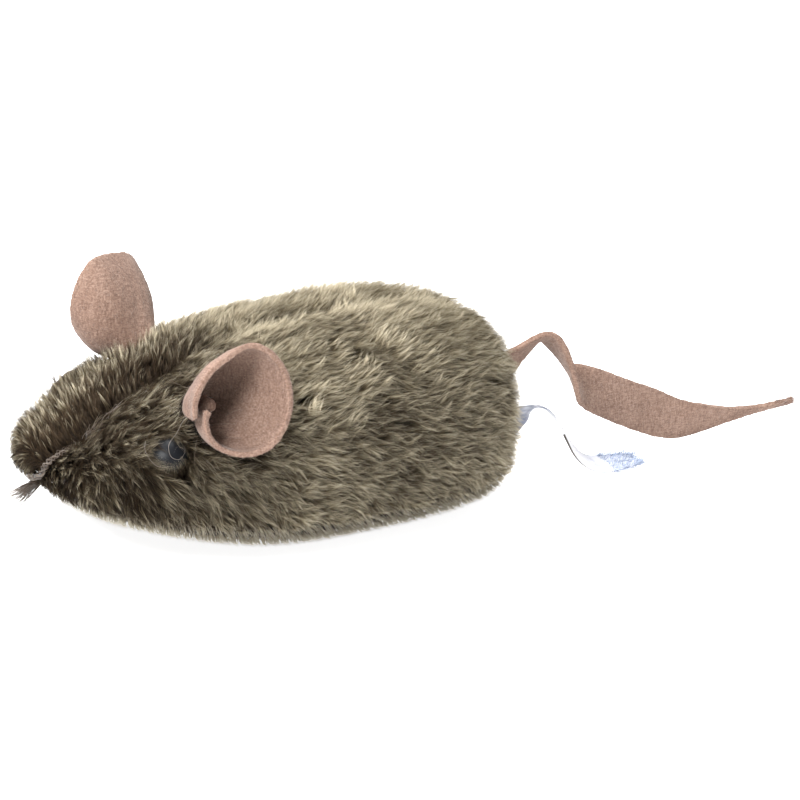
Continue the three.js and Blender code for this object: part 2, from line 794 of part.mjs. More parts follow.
/** The upper shell: a roof with a grille, a stepped ring for the piezo disc, and a boss for each screw. */
function addCaseCover() {
  const low = partingHeight + seatGap;
  const seatOuter = piezoRadius + seatGap + seatRingWall;
  const seatLow = roofUnder - seatLip - seatStep;
  let cover = post(capsuleRadius, low, capsuleHeight, roundSides);
  cover = cover.subtract(post(boreRadius, low - cutOverrun, roofUnder, roundSides));
  cover = cover.add(post(seatOuter, seatLow, roofUnder + seatGap, roundSides));
  cover = cover.subtract(post(piezoRadius - seatRingWall, seatLow - cutOverrun, roofUnder, roundSides));
  const bossLow = boardTop + seatGap;
  for (const place of screwPlaces) {
    cover = cover.add(post(pillarRadius, bossLow, roofUnder + seatGap, smallSides, place));
  }
  cover = cover.subtract(post(piezoRadius + seatGap, bossLow - cutOverrun, roofUnder - seatLip, roundSides));
  const headFloor = capsuleHeight - screwHeadHeight - seatGap;
  const above = capsuleHeight + cutOverrun;
  for (const place of screwPlaces) {
    cover = cover.subtract(post(screwHoleRadius, bossLow - cutOverrun, above, smallSides, place));
    cover = cover.subtract(post(screwHeadRadius + seatGap, headFloor, above, smallSides, place));
  }
  for (const place of [[0, 0], ...ringPlaces(grilleRing, grilleRingHoles, 0)]) {
    cover = cover.subtract(post(grilleHoleRadius, seatLow, above, smallSides, place));
  }
  addPiece("sound_case_cover", cover, caseMaterial, capsule);
}

/** A button cell: a can with a narrower cap. */
function cellSolid(place) {
  const can = post(cellRadius, cellFloor, cellTop - cellCapHeight, roundSides, place);
  return can.add(post(cellCapRadius, cellFloor + cellCapHeight, cellTop, roundSides, place));
}

/** A sprung leaf between a cell and the board: a bent strip of even thickness. */
function contactGeometry(place) {
  const low = cellTop + seatGap;
  const high = boardUnder - seatGap;
  const bend = contactReach / 2;
  const outline = new THREE.Shape();
  outline.moveTo(-contactReach, high);
  outline.lineTo(-bend, high);
  outline.lineTo(0, low + contactThickness);
  outline.lineTo(contactReach, low + contactThickness);
  outline.lineTo(contactReach, low);
  outline.lineTo(-contactThickness / 2, low);
  outline.lineTo(-bend - contactThickness / 2, high - contactThickness);
  outline.lineTo(-contactReach, high - contactThickness);
  outline.closePath();
  const leaf = new THREE.ExtrudeGeometry(outline, { depth: contactWidth, bevelEnabled: false });
  return leaf.rotateX(Math.PI / 2).translate(place[0], place[1] + contactWidth / 2, 0);
}

/** The round board, with a hole for each screw. */
function addBoard() {
  const low = boardUnder - cutOverrun;
  const high = boardTop + cutOverrun;
  let board = post(boardRadius, boardUnder, boardTop, roundSides);
  for (const place of screwPlaces) {
    board = board.subtract(post(screwHoleRadius, low, high, smallSides, place));
  }
  addPiece("circuit_board", board, boardMaterial, capsule);
}

/** The blob of resin over the sound chip. */
function addChip() {
  const dome = new THREE.EllipseCurve(0, 0, chipRadius, chipHeight, 0, Math.PI / 2).getPoints(4).slice(0, -1);
  const profile = [new THREE.Vector2(0, 0), ...dome, new THREE.Vector2(0, chipHeight)];
  const chip = new THREE.LatheGeometry(profile, eyeSides).rotateX(Math.PI / 2);
  chip.translate(chipPlace[0], chipPlace[1], boardTop + seatGap);
  addPiece("sound_chip", chip, chipMaterial, capsule);
}

/** The ball switch: a can that lies along X, a plug with a pin in its mouth, and the ball in between. */
function addBallSwitch() {
  const height = boardTop + seatGap + switchRadius;
  const half = switchLength / 2;
  const [x, y] = switchPlace;
  const lie = (solid) => geometryOf(solid).rotateY(Math.PI / 2).translate(x, y, height);
  const wall = switchRadius - switchBore;
  const can = post(switchRadius, -half, half, smallSides).subtract(
    post(switchBore, wall - half, half + cutOverrun, smallSides),
  );
  const plugFoot = half - plugLength;
  const plug = post(switchBore - seatGap, plugFoot, half, smallSides).add(
    post(pinRadius, plugFoot, half + pinLength, smallSides),
  );
  const ball = new THREE.SphereGeometry(ballRadius, ballSides, ballSides / 2);
  const ballStart = wall - half + seatGap + ballRadius;
  addPiece("motion_switch_can", lie(can), steelMaterial, capsule);
  addPiece("motion_switch_plug", lie(plug), brassMaterial, capsule);
  addPiece("motion_switch_ball", ball.translate(x + ballStart, y, height), brassMaterial, capsule);
}

/** The piezo disc: a brass plate with a thinner ceramic disc under it. */
function addPiezo() {
  const top = roofUnder - seatLip - seatGap;
  const plate = post(piezoRadius, top - piezoThickness, top, roundSides);
  const ceramicLow = top - piezoThickness - ceramicThickness;
  addPiece("piezo_disc", plate.add(post(ceramicRadius, ceramicLow, top, roundSides)), brassMaterial, capsule);
}

/** Two leads from the board up to the piezo disc. */
function addLeads() {
  const low = boardTop + seatGap;
  const high = roofUnder - seatLip - 2 * seatGap - piezoThickness - ceramicThickness;
  for (const [name, side, material] of [
    ["red_lead", 1, redMaterial],
    ["black_lead", -1, chipMaterial],
  ]) {
    const foot = new THREE.Vector3(chipPlace[0] - chipRadius - leadSpread, side * leadSpread, low);
    const head = new THREE.Vector3(-leadSpread, side * leadSpread, high);
    const footOut = foot.clone().setZ(low + (high - low) / 3);
    const headIn = head.clone().setZ(high - (high - low) / 3);
    const path = new THREE.CubicBezierCurve3(foot, footOut, headIn, head);
    const section = new THREE.Shape().absarc(0, 0, leadRadius, 0, 2 * Math.PI);
    const options = { steps: leadSteps, extrudePath: path, curveSegments: 3 };
    addPiece(name, new THREE.ExtrudeGeometry(section, options), material, capsule);
  }
}

/** A pan-head screw, driven down from the roof. */
function screwSolid(place) {
  const headTop = capsuleHeight - seatGap / 2;
  const shank = post(screwRadius, headTop - screwLength, headTop - screwHeadHeight / 2, smallSides, place);
  return shank.add(post(screwHeadRadius, headTop - screwHeadHeight, headTop, smallSides, place));
}

addCaseBase();
addCaseCover();
cellPlaces.forEach((place, i) => {
  addPiece(`button_cell_${i + 1}`, cellSolid(place), steelMaterial, capsule);
  addPiece(`cell_contact_${i + 1}`, contactGeometry(place), brassMaterial, capsule);
});
addBoard();
addChip();
addBallSwitch();
addPiezo();
addLeads();
screwPlaces.forEach((place, i) => addPiece(`case_screw_${i + 1}`, screwSolid(place), steelMaterial, capsule));

export default toy;
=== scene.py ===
"""The looks of a plush mouse with a sound capsule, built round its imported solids.

Everything is in metres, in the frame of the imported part: the nose points along -X and the tail along +X,
the mouse's left side is -Y, and +Z is up. The fur, the felt, the satin and the thread are made here as real
fibres and sheets, and they stand where the solids of the same pieces stand.
"""

import logging
import math
from dataclasses import dataclass, field
from enum import Enum

import bmesh
import bpy
import numpy as np
from bmesh.types import BMesh, BMFace, BMVert
from bpy.types import Material, Mesh, Node, NodeSocket, NodeTree, Object
from mathutils import Matrix, Quaternion, Vector, noise
from mathutils.bvhtree import BVHTree
from mathutils.kdtree import KDTree
from numpy.random import Generator


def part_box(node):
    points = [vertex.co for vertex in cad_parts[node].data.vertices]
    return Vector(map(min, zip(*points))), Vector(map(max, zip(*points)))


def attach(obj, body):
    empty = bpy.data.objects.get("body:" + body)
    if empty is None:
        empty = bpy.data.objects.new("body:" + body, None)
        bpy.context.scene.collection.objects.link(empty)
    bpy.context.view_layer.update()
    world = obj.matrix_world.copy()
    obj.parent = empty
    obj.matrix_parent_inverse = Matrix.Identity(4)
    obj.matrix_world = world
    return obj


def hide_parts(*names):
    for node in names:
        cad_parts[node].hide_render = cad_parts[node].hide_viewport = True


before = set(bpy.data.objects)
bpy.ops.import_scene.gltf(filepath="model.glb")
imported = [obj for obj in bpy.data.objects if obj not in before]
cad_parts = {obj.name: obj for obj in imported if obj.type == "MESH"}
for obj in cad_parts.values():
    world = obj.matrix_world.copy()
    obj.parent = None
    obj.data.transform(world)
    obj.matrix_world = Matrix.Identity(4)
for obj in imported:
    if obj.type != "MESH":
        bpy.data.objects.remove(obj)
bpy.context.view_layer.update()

LOG = logging.getLogger("mouse")

MM = 0.001
BODY_HEIGHT = 41 * MM
PLUSH_BODY = "plush_body"
STRAND_MAP = "OFBake"
# The mesh value that darkens felt with painted shade inside the ears' cups.
PAINTED_SHADE = "shade"
WHITE = (1, 1, 1, 1)
TONE_COLUMNS = 32

Colour = tuple[float, float, float]
Place = tuple[float, float, float]
Array = np.ndarray
Stops = tuple[tuple[float, Colour], ...]


class Side(Enum):
    """A side of the mouse, with the sign of Y there."""

    LEFT = -1
    RIGHT = 1

    @property
    def word(self) -> str:
        """The side's name, as the nodes have it."""
        return self.name.lower()


def linear(colour: Colour) -> tuple[float, float, float, float]:
    """A display colour as the linear one that a shader takes, with full alpha."""
    red, green, blue = (((c + 0.055) / 1.055) ** 2.4 if c > 0.04045 else c / 12.92 for c in colour)
    return red, green, blue, 1.0


def smooth(low: float, high: float, value: Array) -> Array:
    """A smooth step from 0 at low to 1 at high, also where low lies above high."""
    share = np.clip((np.asarray(value, float) - low) / (high - low), 0, 1)
    return share * share * (3 - 2 * share)


def unit(vectors: Array) -> Array:
    """Rows of vectors, each with a length of 1."""
    return vectors / np.maximum(np.linalg.norm(vectors, axis=-1, keepdims=True), 1e-12)


def nearness(points: Array, place: Array, reach: float) -> Array:
    """1 at a place, and fading to 0 beyond a reach, for rows of points."""
    return np.exp(-((np.linalg.norm(points - place, axis=1) / reach) ** 2))


def curve_through(a: Array, b: Array, c: Array, d: Array, t: Array) -> Array:
    """The point at a share t of the way from b to c, on a smooth curve through a, b, c and d."""
    bend = (2 * a - 5 * b + 4 * c - d) * t**2
    return 0.5 * (2 * b + (c - a) * t + bend + (3 * b - a - 3 * c + d) * t**3)


# Shader groups


class Socket(Enum):
    """The kinds of socket that the groups have."""

    NUMBER = "NodeSocketFloat"
    COLOUR = "NodeSocketColor"
    VECTOR = "NodeSocketVector"


@dataclass
class Graph:
    """A node tree with short calls to fill it."""

    tree: NodeTree

    def add(self, kind: str, **settings: object) -> Node:
        """A new node.

        Args:
            kind: the node's type, without its ShaderNode prefix where it has one.
            settings: values for the node's own properties.

        Returns:
            The node.
        """
        node = self.tree.nodes.new(kind if kind.startswith("Node") else "ShaderNode" + kind)
        for name, value in settings.items():
            setattr(node, name, value)
        return node

    def join(self, source: NodeSocket, target: NodeSocket) -> None:
        """Links one socket to another."""
        self.tree.links.new(source, target)

    def feed(self, node: Node, values: dict[str | int, object]) -> None:
        """Fills inputs of a node.

        Args:
            node: the node.
            values: by input, a socket to link to it or a value to set.
        """
        for name, value in values.items():
            if isinstance(value, NodeSocket):
                self.join(value, node.inputs[name])
            else:
                node.inputs[name].default_value = value

    def math(self, operation: str, first: object, second: object = 0.0) -> NodeSocket:
        """The result of a Math node on two numbers or sockets.

        Args:
            operation: the node's operation.
            first: a number or a socket.
            second: a number or a socket.

        Returns:
            The result.
        """
        node = self.add("Math", operation=operation)
        self.feed(node, {0: first, 1: second})
        return node.outputs[0]

    def noise(self, place: NodeSocket, scale: object, detail: float = 3.0) -> NodeSocket:
        """The value of a Noise Texture of some scale at a place.

        Args:
            place: where the texture is read.
            scale: a number or a socket.
            detail: how fine it gets.

        Returns:
            The value.
        """
        node = self.add("TexNoise")
        self.feed(node, {"Vector": place, "Scale": scale, "Detail": detail})
        return node.outputs["Fac"]

    def stretched(self, place: NodeSocket, scale: Place) -> NodeSocket:
        """A place scaled by a different number along each axis.

        Args:
            place: the place.
            scale: the three numbers.

        Returns:
            The scaled place.
        """
        node = self.add("Mapping")
        self.feed(node, {"Vector": place, "Scale": scale})
        return node.outputs[0]

    def blend(self, share: object, first: object, second: object) -> NodeSocket:
        """A mix of two colours, each a socket or a linear colour.

        Args:
            share: the second colour's share.
            first: the first colour.
            second: the second colour.

        Returns:
            The mix.
        """
        node = self.add("Mix", data_type="RGBA")
        self.feed(node, {0: share, 6: first, 7: second})
        return node.outputs[2]

    def ramp(self, value: NodeSocket, stops: Stops) -> NodeSocket:
        """A Color Ramp of display colours over a value.

        Args:
            value: the value, from 0 to 1.
            stops: the colours and where over the value they lie.

        Returns:
            The colour.
        """
        node = self.add("ValToRGB")
        elements = node.color_ramp.elements
        while len(elements) < len(stops):
            elements.new(0.5)
        for element, (place, colour) in zip(elements, stops):
            element.position = place
            element.color = linear(colour)
        self.join(value, node.inputs[0])
        return node.outputs[0]


def group_graph(name: str, inputs: dict[str, tuple[Socket, object]], outputs: dict[str, Socket]) -> Graph:
    """A new shader group with named inputs and outputs.

    Args:
        name: the group's name.
        inputs: each input's name, with its kind and its usual value.
        outputs: each output's name and kind.

    Returns:
        The group's graph, with its input and output nodes in it.
    """
    tree = bpy.data.node_groups.new(name, "ShaderNodeTree")
    for word, (kind, value) in inputs.items():
        socket = tree.interface.new_socket(name=word, in_out="INPUT", socket_type=kind.value)
        socket.default_value = value
    for word, kind in outputs.items():
        tree.interface.new_socket(name=word, in_out="OUTPUT", socket_type=kind.value)
    graph = Graph(tree)
    graph.add("NodeGroupInput")
    graph.add("NodeGroupOutput")
    return graph


class SharedEffects:
    """The shader groups that more than one finish uses, each built once. Scales are per metre."""

    PATCH_SCALE = 160.0
    PATCH_DETAIL = 4.0
    PATCH_SHARE = 0.2
    HAIR_SCALES = ((5200, 900, 5200), (900, 5200, 5200), (3800, 3800, 800))
    HAIR_DETAIL = 2.0
    TONE_RANGE = (0.47, 0.73)
    WEAR_SCALE = 260.0
    GRAIN_DETAIL = 2.0

    def __init__(self) -> None:
        """Builds the groups."""
        self.fibre_mottle = self._fibre_mottle()
        self.surface_wear = self._surface_wear()

    def _fibre_mottle(self) -> NodeTree:
        """Pressed or loose fibre: patches, specks and short hairs in three colours, and their height.

        Returns:
            The group.
        """
        graph = group_graph(
            "fibre_mottle",
            {
                "Place": (Socket.VECTOR, (0, 0, 0)),
                "Dark": (Socket.COLOUR, (0.1, 0.1, 0.1, 1)),
                "Middle": (Socket.COLOUR, (0.3, 0.3, 0.3, 1)),
                "Light": (Socket.COLOUR, (0.6, 0.6, 0.6, 1)),
                "Fineness": (Socket.NUMBER, 1.0),
            },
            {"Colour": Socket.COLOUR, "Height": Socket.NUMBER},
        )
        into = graph.tree.nodes["Group Input"].outputs
        out = graph.tree.nodes["Group Output"].inputs
        scaled = graph.add("VectorMath", operation="SCALE")
        graph.feed(scaled, {0: into["Place"], "Scale": into["Fineness"]})
        place = scaled.outputs[0]
        patches = graph.noise(place, self.PATCH_SCALE, self.PATCH_DETAIL)
        hairs = [graph.noise(graph.stretched(place, s), 1.0, self.HAIR_DETAIL) for s in self.HAIR_SCALES]
        fine = graph.math("ADD", graph.math("ADD", hairs[0], hairs[1]), hairs[2])
        fine = graph.math("MULTIPLY", fine, 0.333)
        tone = graph.math("ADD", graph.math("MULTIPLY", patches, self.PATCH_SHARE), fine)
        lifted = graph.add("MapRange")
        low, high = self.TONE_RANGE
        graph.feed(lifted, {"Value": tone, "From Min": low, "From Max": high})
        level = lifted.outputs[0]
        lower = graph.blend(graph.math("MULTIPLY", level, 2.0), into["Dark"], into["Middle"])
        upper_share = graph.math("SUBTRACT", graph.math("MULTIPLY", level, 2.0), 1.0)
        clamped = graph.math("MAXIMUM", upper_share, 0.0)
        graph.join(graph.blend(clamped, lower, into["Light"]), out["Colour"])
        graph.join(fine, out["Height"])
        return graph.tree

    def _surface_wear(self) -> NodeTree:
        """Moulded plastic and metal: a faint unevenness of colour, of roughness and of the surface.

        Returns:
            The group.
        """
        graph = group_graph(
            "surface_wear",
            {
                "Place": (Socket.VECTOR, (0, 0, 0)),
                "Colour": (Socket.COLOUR, (0.5, 0.5, 0.5, 1)),
                "Roughness": (Socket.NUMBER, 0.4),
                "Grain": (Socket.NUMBER, 4000.0),
                "Amount": (Socket.NUMBER, 0.15),
            },
            {"Colour": Socket.COLOUR, "Roughness": Socket.NUMBER, "Height": Socket.NUMBER},
        )
        into = graph.tree.nodes["Group Input"].outputs
        out = graph.tree.nodes["Group Output"].inputs
        broad = graph.noise(into["Place"], self.WEAR_SCALE)
        grain = graph.noise(into["Place"], into["Grain"], self.GRAIN_DETAIL)
        shade = graph.math("MULTIPLY", graph.math("SUBTRACT", broad, 0.5), into["Amount"])
        brightness = graph.add("HueSaturation")
        graph.feed(brightness, {"Value": graph.math("ADD", shade, 1.0), "Color": into["Colour"]})
        graph.join(brightness.outputs[0], out["Colour"])
        graph.join(graph.math("ADD", into["Roughness"], shade), out["Roughness"])
        graph.join(grain, out["Height"])
        return graph.tree


EFFECTS = SharedEffects()


# Finishes


@dataclass(frozen=True)
class Finish:
    """A named finish. Each kind fills in the shader's graph in its own way."""

    name: str

    def material(self) -> Material:
        """The finish as a material, made once.

        Returns:
            The material.
        """
        own_name = f"{self.name}_look"
        made = bpy.data.materials.get(own_name)
        if made is None:
            made = bpy.data.materials.new(own_name)
            made.use_nodes = True
            graph = Graph(made.node_tree)
            self.fill(graph, made.node_tree.nodes["Principled BSDF"])
        return made

    def fill(self, graph: Graph, shader: Node) -> None:
        """Sets the shader's values and links its patterns."""
        raise NotImplementedError

    def place(self, graph: Graph) -> NodeSocket:
        """The piece's own coordinates, in metres."""
        return graph.add("TexCoord").outputs["Object"]

    def bump(self, graph: Graph, shader: Node, height: NodeSocket, depth: float) -> None:
        """Links a height to the shader's normal, with its depth in metres.

        Args:
            graph: the material's graph.
            shader: its Principled BSDF node.
            height: the height.
            depth: the depth.
        """
        node = graph.add("Bump")
        graph.feed(node, {"Height": height, "Distance": depth, "Strength": 1.0})
        graph.join(node.outputs[0], shader.inputs["Normal"])

    def group(self, graph: Graph, tree: NodeTree, values: dict[str, object]) -> Node:
        """A shared effect placed in this material, with its own values.

        Args:
            graph: the material's graph.
            tree: the effect's group.
            values: values for its inputs, by name.

        Returns:
            The effect's node.
        """
        node = graph.add("Group", node_tree=tree)
        graph.feed(node, {"Place": self.place(graph), **values})
        return node


@dataclass(frozen=True)
class PileFinish(Finish):
    """Fur or loose fibre. The strand's map holds its tone in U and the way from root to tip in V."""

    deep: Stops = ()
    pale: Stops = ()
    roughness: float = 0.62
    sheen: float = 0.25
    specular: float = 0.3
    sheen_roughness: float = 0.4

    def fill(self, graph: Graph, shader: Node) -> None:
        """Colours each strand from root to tip, between a deep and a pale range by its tone.

        Args:
            graph: the material's graph.
            shader: its Principled BSDF node.
        """
        own_map = graph.add("UVMap", uv_map=STRAND_MAP)
        parts = graph.add("SeparateXYZ")
        graph.join(own_map.outputs[0], parts.inputs[0])
        deep, pale = (graph.ramp(parts.outputs["Y"], stops) for stops in (self.deep, self.pale))
        values = {
            "Base Color": graph.blend(parts.outputs["X"], deep, pale),
            "Roughness": self.roughness,
            "Specular IOR Level": self.specular,
            "Sheen Weight": self.sheen,
            "Sheen Roughness": self.sheen_roughness,
        }
        graph.feed(shader, values)


@dataclass(frozen=True)
class FeltFinish(Finish):
    """Pressed or woven cloth with a mottled, fibrous surface, darkened by painted shade where its mesh
    carries it.
    """

    dark: Colour
    middle: Colour
    light: Colour
    fineness: float = 1.0
    roughness: float = 0.9
    depth: float = 0.12 * MM
    sheen: float = 0.12
    sheen_roughness: float = 0.5
    specular: float = 0.2

    def fill(self, graph: Graph, shader: Node) -> None:
        """Mottles the cloth in three colours, darkens it by painted shade, and raises its fibres.

        Args:
            graph: the material's graph.
            shader: its Principled BSDF node.
        """
        values = {
            "Dark": linear(self.dark),
            "Middle": linear(self.middle),
            "Light": linear(self.light),
            "Fineness": self.fineness,
        }
        mottle = self.group(graph, EFFECTS.fibre_mottle, values)
        # Painted shade: the mottled colour is dimmed by the mesh's shade value, standing in for the shadow
        # inside an ear's cup.
        shade = graph.add("Attribute", attribute_name=PAINTED_SHADE).outputs["Fac"]
        shaded = graph.add("HueSaturation")
        graph.feed(shaded, {"Value": graph.math("SUBTRACT", 1.0, shade), "Color": mottle.outputs["Colour"]})
        values = {
            "Base Color": shaded.outputs[0],
            "Roughness": self.roughness,
            "Specular IOR Level": self.specular,
            "Sheen Weight": self.sheen,
            "Sheen Roughness": self.sheen_roughness,
        }
        graph.feed(shader, values)
        self.bump(graph, shader, mottle.outputs["Height"], self.depth)


@dataclass(frozen=True)
class SatinFinish(Finish):
    """White satin: close ribs across the tape, blue-grey painted shade near its seam and at its cut end,
    and a soft gloss.
    """

    colour: Colour
    # shade is the blue-grey colour of the painted shade; the places below give, by X in metres, how much of
    # it the tape gets.
    shade: Colour
    tape_shade_places: tuple[tuple[float, float], ...] = (
        (0.0505, 1.0),
        (0.058, 0.95),
        (0.061, 0.15),
        (0.067, 0.0),
        (0.072, 0.7),
    )
    rib: float = 0.22 * MM
    rib_share: float = 0.15
    rib_depth: float = 0.03 * MM
    waves_per_rib: float = 0.314
    distortion: float = 1.2
    tape_shade_scale: float = 500.0
    tape_shade_gain: float = 1.6
    roughness: float = 0.38
    sheen: float = 0.15

    def fill(self, graph: Graph, shader: Node) -> None:
        """Draws the ribs along the tape's own length and lets them catch the light, and paints shade over
        the tape's first and last stretches.

        Args:
            graph: the material's graph.
            shader: its Principled BSDF node.
        """
        place = self.place(graph)
        wave = graph.add("TexWave", wave_type="BANDS", bands_direction="X")
        wave_scale = self.waves_per_rib / self.rib
        values = {"Vector": place, "Scale": wave_scale, "Distortion": self.distortion, "Detail Scale": 2.0}
        graph.feed(wave, values)
        parts = graph.add("SeparateXYZ")
        graph.join(place, parts.inputs[0])
        # Painted shade: blotches of the blue-grey colour near the rump and at the curled end, standing in
        # for the shade in the fur and under the curl.
        along = graph.add("MapRange")
        first, last = self.tape_shade_places[0][0], self.tape_shade_places[-1][0]
        graph.feed(along, {"Value": parts.outputs["X"], "From Min": first, "From Max": last})
        stops = tuple(((x - first) / (last - first), (shade_amount,) * 3) for x, shade_amount in self.tape_shade_places)
        shade_amount = graph.math("MULTIPLY", graph.ramp(along.outputs[0], stops), self.tape_shade_gain)
        shade_blotches = graph.math("MULTIPLY", graph.noise(place, self.tape_shade_scale), shade_amount)
        ribbed = graph.math("MULTIPLY", wave.outputs["Fac"], self.rib_share)
        share = graph.math("ADD", ribbed, shade_blotches)
        colour = graph.blend(share, linear(self.colour), linear(self.shade))
        graph.feed(shader, {"Base Color": colour, "Roughness": self.roughness, "Sheen Weight": self.sheen})
        self.bump(graph, shader, wave.outputs["Fac"], self.rib_depth)


@dataclass(frozen=True)
class HardFinish(Finish):
    """Moulded plastic, resin or metal, with a faint unevenness."""

    colour: Colour
    roughness: float
    metallic: float = 0.0
    coat: float = 0.0
    grain: float = 4000.0
    amount: float = 0.15
    depth: float = 0.01 * MM
    specular: float = 0.5
    coat_roughness: float = 0.08

    def fill(self, graph: Graph, shader: Node) -> None:
        """Sets the body of the material and its wear.

        Args:
            graph: the material's graph.
            shader: its Principled BSDF node.
        """
        values = {
            "Colour": linear(self.colour),
            "Roughness": self.roughness,
            "Grain": self.grain,
            "Amount": self.amount,
        }
        wear = self.group(graph, EFFECTS.surface_wear, values)
        values = {
            "Base Color": wear.outputs["Colour"],
            "Roughness": wear.outputs["Roughness"],
            "Metallic": self.metallic,
            "Specular IOR Level": self.specular,
            "Coat Weight": self.coat,
            "Coat Roughness": self.coat_roughness,
        }
        graph.feed(shader, values)
        self.bump(graph, shader, wear.outputs["Height"], self.depth)


SIDE_FUR = PileFinish(
    "side_fur",
    deep=(
        (0.0, (0.04, 0.028, 0.016)),
        (0.6, (0.11, 0.075, 0.045)),
        (0.85, (0.20, 0.145, 0.085)),
        (1.0, (0.32, 0.24, 0.135)),
    ),
    pale=(
        (0.0, (0.13, 0.11, 0.085)),
        (0.6, (0.44, 0.395, 0.31)),
        (0.85, (0.90, 0.85, 0.735)),
        (1.0, (1.0, 0.965, 0.87)),
    ),
    roughness=0.55,
    sheen=0.0,
    specular=0.1,
)
BELLY_FUR = PileFinish(
    "belly_fur",
    deep=((0.0, (0.48, 0.44, 0.36)), (1.0, (0.68, 0.64, 0.55))),
    pale=((0.0, (0.58, 0.54, 0.46)), (1.0, (0.86, 0.83, 0.75))),
)
BACKING = FeltFinish("fur_backing", (0.07, 0.05, 0.04), (0.12, 0.09, 0.06), (0.18, 0.14, 0.10), sheen=0.05)
FELT = FeltFinish(
    "rose_felt", (0.43, 0.335, 0.29), (0.525, 0.425, 0.37), (0.62, 0.52, 0.465), fineness=0.75
)
FELT_FUZZ = PileFinish(
    "felt_fuzz",
    deep=((0.0, (0.42, 0.31, 0.26)), (1.0, (0.52, 0.41, 0.35))),
    pale=((0.0, (0.62, 0.51, 0.45)), (1.0, (0.84, 0.79, 0.77))),
)
# The second colour is the blue-grey painted shade on the white tape.
SATIN = SatinFinish("white_satin", (0.97, 0.97, 0.99), (0.32, 0.37, 0.49))
# The pale range is the satin's own white; the deep blue-grey range is painted shade on the loose threads.
SATIN_FRAY = PileFinish(
    "satin_fray",
    deep=((0.0, (0.45, 0.51, 0.63)), (1.0, (0.58, 0.64, 0.76))),
    pale=((0.0, (0.78, 0.83, 0.92)), (1.0, (0.90, 0.93, 0.98))),
)
THREAD = PileFinish(
    "dark_thread",
    deep=((0.0, (0.12, 0.08, 0.05)), (1.0, (0.36, 0.27, 0.18))),
    pale=((0.0, (0.42, 0.36, 0.30)), (1.0, (0.74, 0.69, 0.64))),
    roughness=0.5,
)
STUFFING = FeltFinish(
    "polyester_fibre", (0.80, 0.79, 0.77), (0.90, 0.89, 0.87), (0.97, 0.97, 0.96), depth=0.3 * MM
)
BEAD = HardFinish("eye_bead", (0.04, 0.052, 0.072), 0.45, amount=0.1, depth=0.02 * MM, specular=0.2)
WASHER = HardFinish("nylon_washer", (0.91, 0.91, 0.88), 0.5)
CASE = HardFinish("moulded_case", (0.88, 0.89, 0.90), 0.45, grain=6000.0)
BOARD = HardFinish("lacquered_board", (0.16, 0.40, 0.22), 0.35, coat=0.3, amount=0.3)
RESIN = HardFinish("chip_resin", (0.05, 0.05, 0.05), 0.3, coat=0.4)
RED_SLEEVE = HardFinish("red_sleeve", (0.69, 0.12, 0.10), 0.5)
BLACK_SLEEVE = HardFinish("black_sleeve", (0.06, 0.06, 0.06), 0.5)
CELL_STEEL = HardFinish("cell_steel", (0.80, 0.81, 0.83), 0.28, metallic=1.0, grain=9000.0)
SCREW_STEEL = HardFinish("screw_steel", (0.66, 0.67, 0.69), 0.35, metallic=1.0)
BRASS = HardFinish("contact_brass", (0.80, 0.65, 0.33), 0.32, metallic=1.0)


# Meshes


def add_piece(name: str, mesh: Mesh, finish: Finish, body: str) -> Object:
    """Puts a mesh into the scene as a piece of the mouse.

    Args:
        name: the piece's name.
        mesh: its mesh, with its place in it.
        finish: its finish.
        body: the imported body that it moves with.

    Returns:
        The piece.
    """
    piece = bpy.data.objects.new(name, mesh)
    bpy.context.scene.collection.objects.link(piece)
    mesh.materials.clear()
    mesh.materials.append(finish.material())
    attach(piece, body)
    LOG.info("%s: %d faces", name, len(mesh.polygons))
    return piece


def mesh_of(name: str, bm: BMesh, rounded: bool = True) -> Mesh:
    """A bmesh as a mesh, freed, with its faces smooth or flat.

    Args:
        name: the mesh's name.
        bm: the bmesh.
        rounded: whether the faces are smooth.

    Returns:
        The mesh.
    """
    mesh = bpy.data.meshes.new(name)
    bm.to_mesh(mesh)
    bm.free()
    mesh.polygons.foreach_set("use_smooth", np.full(len(mesh.polygons), rounded))
    return mesh


def copy_of_node(node: str) -> BMesh:
    """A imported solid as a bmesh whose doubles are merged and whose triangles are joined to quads.

    Args:
        node: the solid's node.

    Returns:
        The bmesh.
    """
    bm = bmesh.new()
    bm.from_mesh(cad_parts[node].data)
    bmesh.ops.remove_doubles(bm, verts=bm.verts, dist=1e-6)
    bmesh.ops.join_triangles(bm, faces=bm.faces, angle_face_threshold=0.9, angle_shape_threshold=1.2)
    return bm


def keep_edges(bm: BMesh, crease: float, least_angle: float = 0.9) -> BMesh:
    """Creases a bmesh where two faces meet at more than an angle, so that a subdivision keeps the edge.

    Args:
        bm: the bmesh.
        crease: the crease, from 0 to 1.
        least_angle: the least angle, in radians.

    Returns:
        The same bmesh.
    """
    layer = bm.edges.layers.float.new("crease_edge")
    for edge in bm.edges:
        if len(edge.link_faces) == 2 and edge.calc_face_angle() > least_angle:
            edge[layer] = crease
    return bm


def refined(piece: Object, levels: int) -> None:
    """Applies a Subdivision Surface to a piece, so that its mesh holds the smooth form.

    Args:
        piece: the piece.
        levels: how often its faces are divided.
    """
    modifier = piece.modifiers.new("smooth", "SUBSURF")
    modifier.levels = modifier.render_levels = levels
    evaluated = piece.evaluated_get(bpy.context.evaluated_depsgraph_get())
    fine = bpy.data.meshes.new_from_object(evaluated)
    piece.modifiers.remove(modifier)
    piece.data = fine
    fine.polygons.foreach_set("use_smooth", np.full(len(fine.polygons), True))


